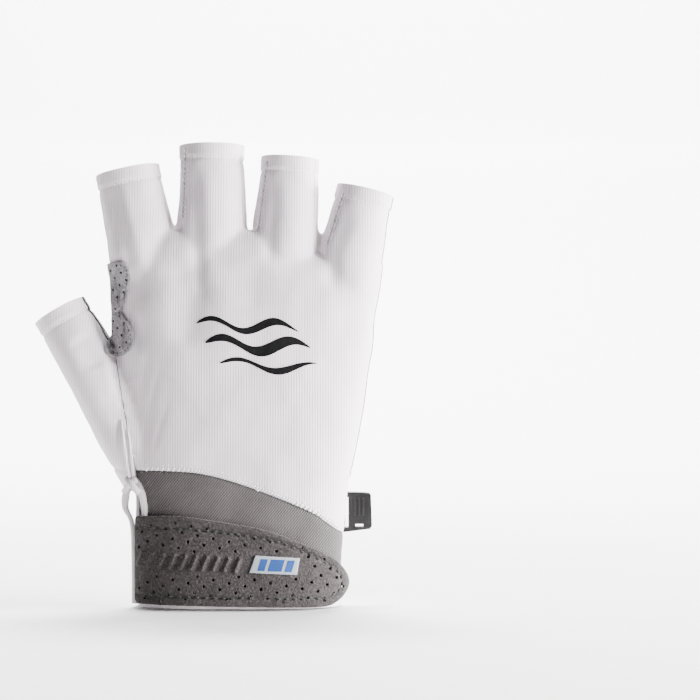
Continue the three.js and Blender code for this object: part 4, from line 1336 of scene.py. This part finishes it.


# %% [markdown]
# ## White ribbed knit
# The back is a polyester and elastane jersey. Its wales run up the hand as fine ribs a
# millimetre apart, and each wale is a chain of small loops. Its colour is painted darker and slightly
# lilac in the grooves between ribs, a painted shade on top of the bump's own shading, and the cloth
# has a faint sheen where it turns away.

# %% Knit
def knit_material(name, light, dark, pitch=1.0, depth=0.00012):
    material, tree, shader, where = new_material(name, Roughness=0.75, IOR=1.45, Sheen_Weight=0.12,
                                                 Sheen_Roughness=0.45)
    ribs_front = bands(tree, where, "X", pitch, 0.35)
    ribs_side = bands(tree, where, "Y", pitch, 0.35)
    normal = add(tree, "TexCoord").outputs["Normal"]
    facing = add(tree, "SeparateXYZ", {"Vector": normal}).outputs["X"]
    sideways = spread(tree, math_of(tree, "ABSOLUTE", facing), 0.72, 0.82)
    ribs = add(tree, "Mix", {0: sideways, 2: ribs_front, 3: ribs_side}).outputs[0]
    loops = bands(tree, where, "Z", 0.7, 2.5)
    height = math_of(tree, "MULTIPLY_ADD", loops, 0.15, ribs)
    fuzz = clouds(tree, where, 2.4, 3.0)
    height = math_of(tree, "MULTIPLY_ADD", fuzz, 0.25, height)
    cloudy = spread(tree, clouds(tree, where, 0.035, 2.0), 0.35, 0.7, 0.75, 1.0)
    # Grooves between the ribs are painted darker, a painted shade; the large clouds are random tone.
    tone = math_of(tree, "MULTIPLY", cloudy, spread(tree, height, 0.1, 1.1))
    dress(tree, shader, blend_colours(tree, tone, linear(dark), linear(light)), height, 0.55, depth)
    return material


KNIT = knit_material("ribbed_polyester_knit", "#D6CED3", "#C4B7BF")
HEM_KNIT = knit_material("folded_knit_tape", "#DAD3D7", "#C0B4BB", pitch=0.8, depth=0.0001)
print("knit nodes:", len(KNIT.node_tree.nodes))

# %% [markdown]
# ## Grey synthetic suede
# The palm, patch and strap are polyester microfibre suede, brushed and then pierced. Its short nap
# lies in patches, so grey shifts from place to place over a few millimetres, with fine light and
# dark specks, and it scatters light at grazing angles.

# %% Suede
def suede_material(name, light, dark, speck, depth=0.0006):
    material, tree, shader, where = new_material(name, Roughness=0.9, IOR=1.5, Sheen_Weight=0.12,
                                                 Sheen_Roughness=0.5, Specular_IOR_Level=0.25)
    nap = clouds(tree, where, 0.16, 4.0, 0.65)
    grain = clouds(tree, where, 1.3, 4.0, 0.7)
    cells = add(tree, "TexVoronoi", {"Vector": where, "Scale": 1.5}, feature="F1").outputs["Distance"]
    patches = math_of(tree, "MULTIPLY", nap, 0.25)
    tone = math_of(tree, "ADD", patches, math_of(tree, "MULTIPLY", grain, 0.85))
    base = blend_colours(tree, spread(tree, tone, 0.46, 0.68), linear(dark), linear(light))
    specks = math_of(tree, "MULTIPLY", spread(tree, grain, 0.62, 0.72), 0.55)
    height = math_of(tree, "MULTIPLY_ADD", cells, 0.5, grain)
    dress(tree, shader, blend_colours(tree, specks, base, linear(speck)), height, 0.6, depth)
    return material


PALM_SUEDE = suede_material("microfibre_suede_cool", "#4A4B4E", "#2A2A2D", "#66676A")
STRAP_SUEDE = suede_material("microfibre_suede_warm", "#3F3A3A", "#221E1E", "#5A5555")
PATCH_SUEDE = suede_material("microfibre_suede_pale", "#928D91", "#6B676B", "#A8A3A7", depth=0.00045)

# %% [markdown]
# ## Grey twill
# The gusset under the strap is elastic polyester twill. Its floats step over one yarn in each row,
# which draws fine diagonal lines 0.8 mm apart, crossed by the yarns themselves. Its colour is
# painted darker where this relief is low: painted shade between the floats.

# %% Twill
def twill_material():
    material, tree, shader, where = new_material(
        "elastic_twill", Roughness=0.8, IOR=1.5, Sheen_Weight=0.08, Sheen_Roughness=0.5,
        Specular_IOR_Level=0.3)
    slant = {"Vector": where, "Rotation": (0, math.radians(52), 0)}
    lines = bands(tree, add(tree, "Mapping", slant).outputs["Vector"], "Z", 0.8, 0.8)
    yarns = bands(tree, where, "X", 0.55, 0.6)
    height = math_of(tree, "MULTIPLY_ADD", yarns, 0.4, lines)
    cloudy = spread(tree, clouds(tree, where, 0.09, 3.0), 0.3, 0.7, 0.8, 1)
    # Low parts of the relief are painted darker: painted shade between the floats.
    tone = math_of(tree, "MULTIPLY", spread(tree, height, 0.15, 1.25, 0.15, 1.0), cloudy)
    colour = blend_colours(tree, tone, linear("#1C1919"), linear("#5B5656"))
    dress(tree, shader, colour, height, 0.6, 0.0002)
    return material


TWILL = twill_material()

# %% [markdown]
# ## Small things
# Webbing is woven nylon, with a rib across it every millimetre. The clip is moulded acetal, black
# with a fine spark texture. Hook tape is a field of nylon hooks. Print is matt ink. Thread is
# spun polyester, twisted, with a soft shine. Woven things, threads too, are painted darker in the
# hollows of their weave: painted shade.

# %% Webbing, plastic, hooks, ink, thread, label
def woven_material(name, light, dark, pitch, depth, roughness=0.7):
    material, tree, shader, where = new_material(name, Roughness=roughness, IOR=1.53, Sheen_Weight=0.15)
    across = bands(tree, where, "Z", pitch, 0.3, 2.0)
    along = bands(tree, where, "X", pitch * 0.8, 0.3, 2.0)
    weave = math_of(tree, "MAXIMUM", across, along)
    height = math_of(tree, "MULTIPLY_ADD", clouds(tree, where, 3.0, 3.0), 0.4, weave)
    # The weave's hollows are painted darker: painted shade.
    shade = blend_colours(tree, spread(tree, height, 0.4, 1.3), linear(dark), linear(light))
    dress(tree, shader, shade, height, 0.6, depth)
    return material


def moulded_material(name, light, dark, grit, depth, roughness, **values):
    """Moulded or printed: two near tones in fine grit, and a little uneven gloss."""
    material, tree, shader, where = new_material(name, IOR=1.48, **values)
    fine = clouds(tree, where, grit, 3.0)
    wide = clouds(tree, where, 0.2, 2.0)
    tone = math_of(tree, "MULTIPLY_ADD", wide, 0.5, math_of(tree, "MULTIPLY", fine, 0.5))
    shade = blend_colours(tree, spread(tree, tone, 0.35, 0.65), linear(dark), linear(light))
    gloss = spread(tree, fine, 0.3, 0.7, roughness - 0.08, roughness + 0.1)
    tree.links.new(gloss, shader.inputs["Roughness"])
    dress(tree, shader, shade, fine, 0.4, depth)
    return material


WEBBING = woven_material("nylon_webbing", "#242221", "#121111", 1.0, 0.0003)
TAB_WEAVE = woven_material("woven_polyester_tab", "#8F959C", "#7E848B", 0.5, 0.00008, 0.6)
TAB_INK = moulded_material("blue_tab_thread", "#033C80", "#03326B", 2.0, 0.00005, 0.6)
PLASTIC = moulded_material("moulded_acetal", "#100F0F", "#070707", 1.6, 0.00006, 0.42,
                           Specular_IOR_Level=0.35)
HOOKS = moulded_material("nylon_hook_tape", "#2A2A2B", "#0E0E0E", 1.1, 0.0006, 0.6)
INK = moulded_material("screen_print_ink", "#0B0B0C", "#060606", 1.4, 0.00008, 0.75,
                       Specular_IOR_Level=0.12)
WHITE_THREAD = woven_material("white_spun_thread", "#F4F1F2", "#CFCACE", 0.35, 0.00008, 0.6)
# A light grey line beside each side strip: painted seam shadow.
SEAM_SHADOW_PAINT = woven_material("painted_seam_shadow_line", "#8C878B", "#6E696D", 0.35, 0.00008, 0.6)
# Dark thread for the real stitches, and for the line under the gusset's overlock, which is painted seam
# shadow.
DARK_THREAD_AND_SEAM_SHADE = woven_material("grey_spun_thread", "#1A1919", "#0D0C0C", 0.35, 0.00008, 0.8)
# The hole walls' dark suede is painted shade inside the holes.
DARK_HOLE_WALL_PAINT = suede_material("painted_shade_in_holes", "#2C2A29", "#141313", "#343231")
print("materials:", len(bpy.data.materials))

# %% [markdown]
# ## Put the pieces in the frame
# So far everything was in millimetres. Each piece is now scaled to metres, shaded smooth with its
# sharp edges kept and given its material, and the solid that it stands for is hidden. The glove has
# no joints, so every piece rides on the same body.

# %% Finish the pieces
Piece = namedtuple("Piece", "thing material slot nodes sheet", defaults=[(), None])
Cut = namedtuple("Cut", "width length area rests_on held", defaults=["stretched"])
SHARP_ANGLE = math.radians(38)
throw_away(skin)


def into_metres(thing):
    thing.data.transform(Matrix.Scale(MM, 4))
    thing.data.shade_smooth()
    thing.data.set_sharp_from_angle(angle=SHARP_ANGLE)
    thing.data.update()


def strip_pieces():
    """Each strip stands for the solid that is named after the fingers on its two sides."""
    for strip, first, second in zip(strips, FINGER_ROWS, FINGER_ROWS[1:]):
        node = f"side_strip_{first.name}_{second.name}"
        yield Piece(strip, KNIT, "knit", [node], Cut(0.016, 0.066, 0.0009, "glove_back"))


PIECES = [
    Piece(back_panel, KNIT, "knit", ["back_panel"], Cut(0.125, 0.172, 0.0142, "glove_palm")),
    Piece(palm_panel, PALM_SUEDE, "suede", ["palm_panel"], Cut(0.160, 0.190, 0.0182, "glove_back")),
    Piece(thumb_piece, KNIT, "knit", ["thumb_piece"], Cut(0.070, 0.125, 0.0034, "glove_palm")),
    *strip_pieces(),
    Piece(gusset, TWILL, "twill", ["cuff_gusset"], Cut(0.046, 0.096, 0.0033, "glove_back")),
    Piece(cuff_hem, HEM_KNIT, "knit", ["cuff_hem"], Cut(0.013, 0.188, 0.0016, "thumb_cloth", "folded")),
    Piece(slit_binding, HEM_KNIT, "binding", ["slit_binding"]),
    *[Piece(raised_seam, HEM_KNIT, "knit") for raised_seam in welts],
    *[Piece(knot, HEM_KNIT, "binding") for knot in knots],
    Piece(patch, PATCH_SUEDE, "suede", ["thumb_crotch_patch"], Cut(0.024, 0.040, 0.0007, "glove_back")),
    Piece(strap, STRAP_SUEDE, "strap_suede", ["closing_strap"],
          Cut(0.035, 0.092, 0.0026, "cuff_hem_cloth", "folded")),
    Piece(hook_patch, HOOKS, "hook_tape", ["hook_patch"]),
    Piece(label, TAB_WEAVE, "label", ["strap_label"]),
    *[Piece(bar, TAB_INK, "label") for bar in bars],
    Piece(webbing, WEBBING, "webbing", ["buckle_webbing"]),
    Piece(socket, PLASTIC, "buckle_plastic", ["buckle_socket"]),
    Piece(threads[0], WHITE_THREAD, "knit"),
    Piece(threads[1], DARK_THREAD_AND_SEAM_SHADE, "suede"),
    Piece(threads[2], SEAM_SHADOW_PAINT, "knit"),
    Piece(print_film, INK, "knit"),
]
for piece in PIECES:
    into_metres(piece.thing)
    slots = piece.thing.data.materials
    for i, old in enumerate(slots):
        if old in (None, SUEDE_FACE, PAINTED_HOLE_SHADE_SLOT):
            slots[i] = DARK_HOLE_WALL_PAINT if old == PAINTED_HOLE_SHADE_SLOT else piece.material
    if not slots:
        slots.append(piece.material)
    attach(piece.thing, "root")
    if piece.nodes:
        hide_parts(*piece.nodes)
    if piece.sheet:
        cut = piece.sheet
triangles = {p.thing.name: sum(len(f.vertices) - 2 for f in p.thing.data.polygons) for p in PIECES}
print("triangles:", triangles, "in all:", sum(triangles.values()))

# %% [markdown]
# ## Floor, backdrop and light
# A pale sweep of paper runs under the glove and rises well behind it. A wide soft box at the right
# is the main light and models the knit's folds. A weak one stands at the rear left, one hangs over
# the glove, and a strong one keeps the backdrop white.

# %% Studio
SWEEP_PROFILE = [(-420, -0.05), (900, -0.05), (1400, 20), (1700, 110), (1850, 300), (1900, 600),
                 (1900, 2400)]
SWEEP_LEFT = -2200
SWEEP_WIDTH = 4400


def sweep_form():
    bm = bmesh.new()
    left = [bm.verts.new((SWEEP_LEFT, y, z)) for y, z in smooth_rows(SWEEP_PROFILE, 6)]
    edges = [bm.edges.new(pair) for pair in zip(left, left[1:])]
    made = bmesh.ops.extrude_edge_only(bm, edges=edges)["geom"]
    for vert in (g for g in made if isinstance(g, bmesh.types.BMVert)):
        vert.co.x += SWEEP_WIDTH
    bmesh.ops.recalc_face_normals(bm, faces=bm.faces[:])
    return bm


sweep = object_from(sweep_form(), "paper_sweep")
into_metres(sweep)
PAPER = moulded_material("matt_white_paper", "#FBFBFB", "#F7F7F7", 0.2, 0.00002, 0.85)
sweep.data.materials.append(PAPER)

world = bpy.data.worlds.new("studio_air")
world.use_nodes = True
air = world.node_tree.nodes["Background"]
air.inputs["Color"].default_value = (1, 1, 1, 1)
air.inputs["Strength"].default_value = 0.03
bpy.context.scene.world = world


def soft_box(name, place, width, height, power, target=(0, 0, 0.09)):
    data = bpy.data.lights.new(name, "AREA")
    data.shape = "RECTANGLE"
    data.size = width
    data.size_y = height
    data.energy = power
    lamp = bpy.data.objects.new(name, data)
    lamp.location = place
    lamp.rotation_euler = (Vector(target) - Vector(place)).to_track_quat("-Z", "Y").to_euler()
    bpy.context.scene.collection.objects.link(lamp)


soft_box("box_right", (1.4, -0.3, 0.27), 0.95, 0.5, 195)
soft_box("box_left_rim", (-1.1, 0.75, 0.5), 0.5, 0.5, 6)
soft_box("box_over", (0.05, 0.5, 1.2), 0.7, 0.7, 9, (0.0, 0.25, 0.0))
soft_box("box_backdrop", (0.0, 1.0, 1.7), 1.0, 1.0, 230, (0.0, 1.9, 0.2))
print("lights:", len(bpy.data.lights))
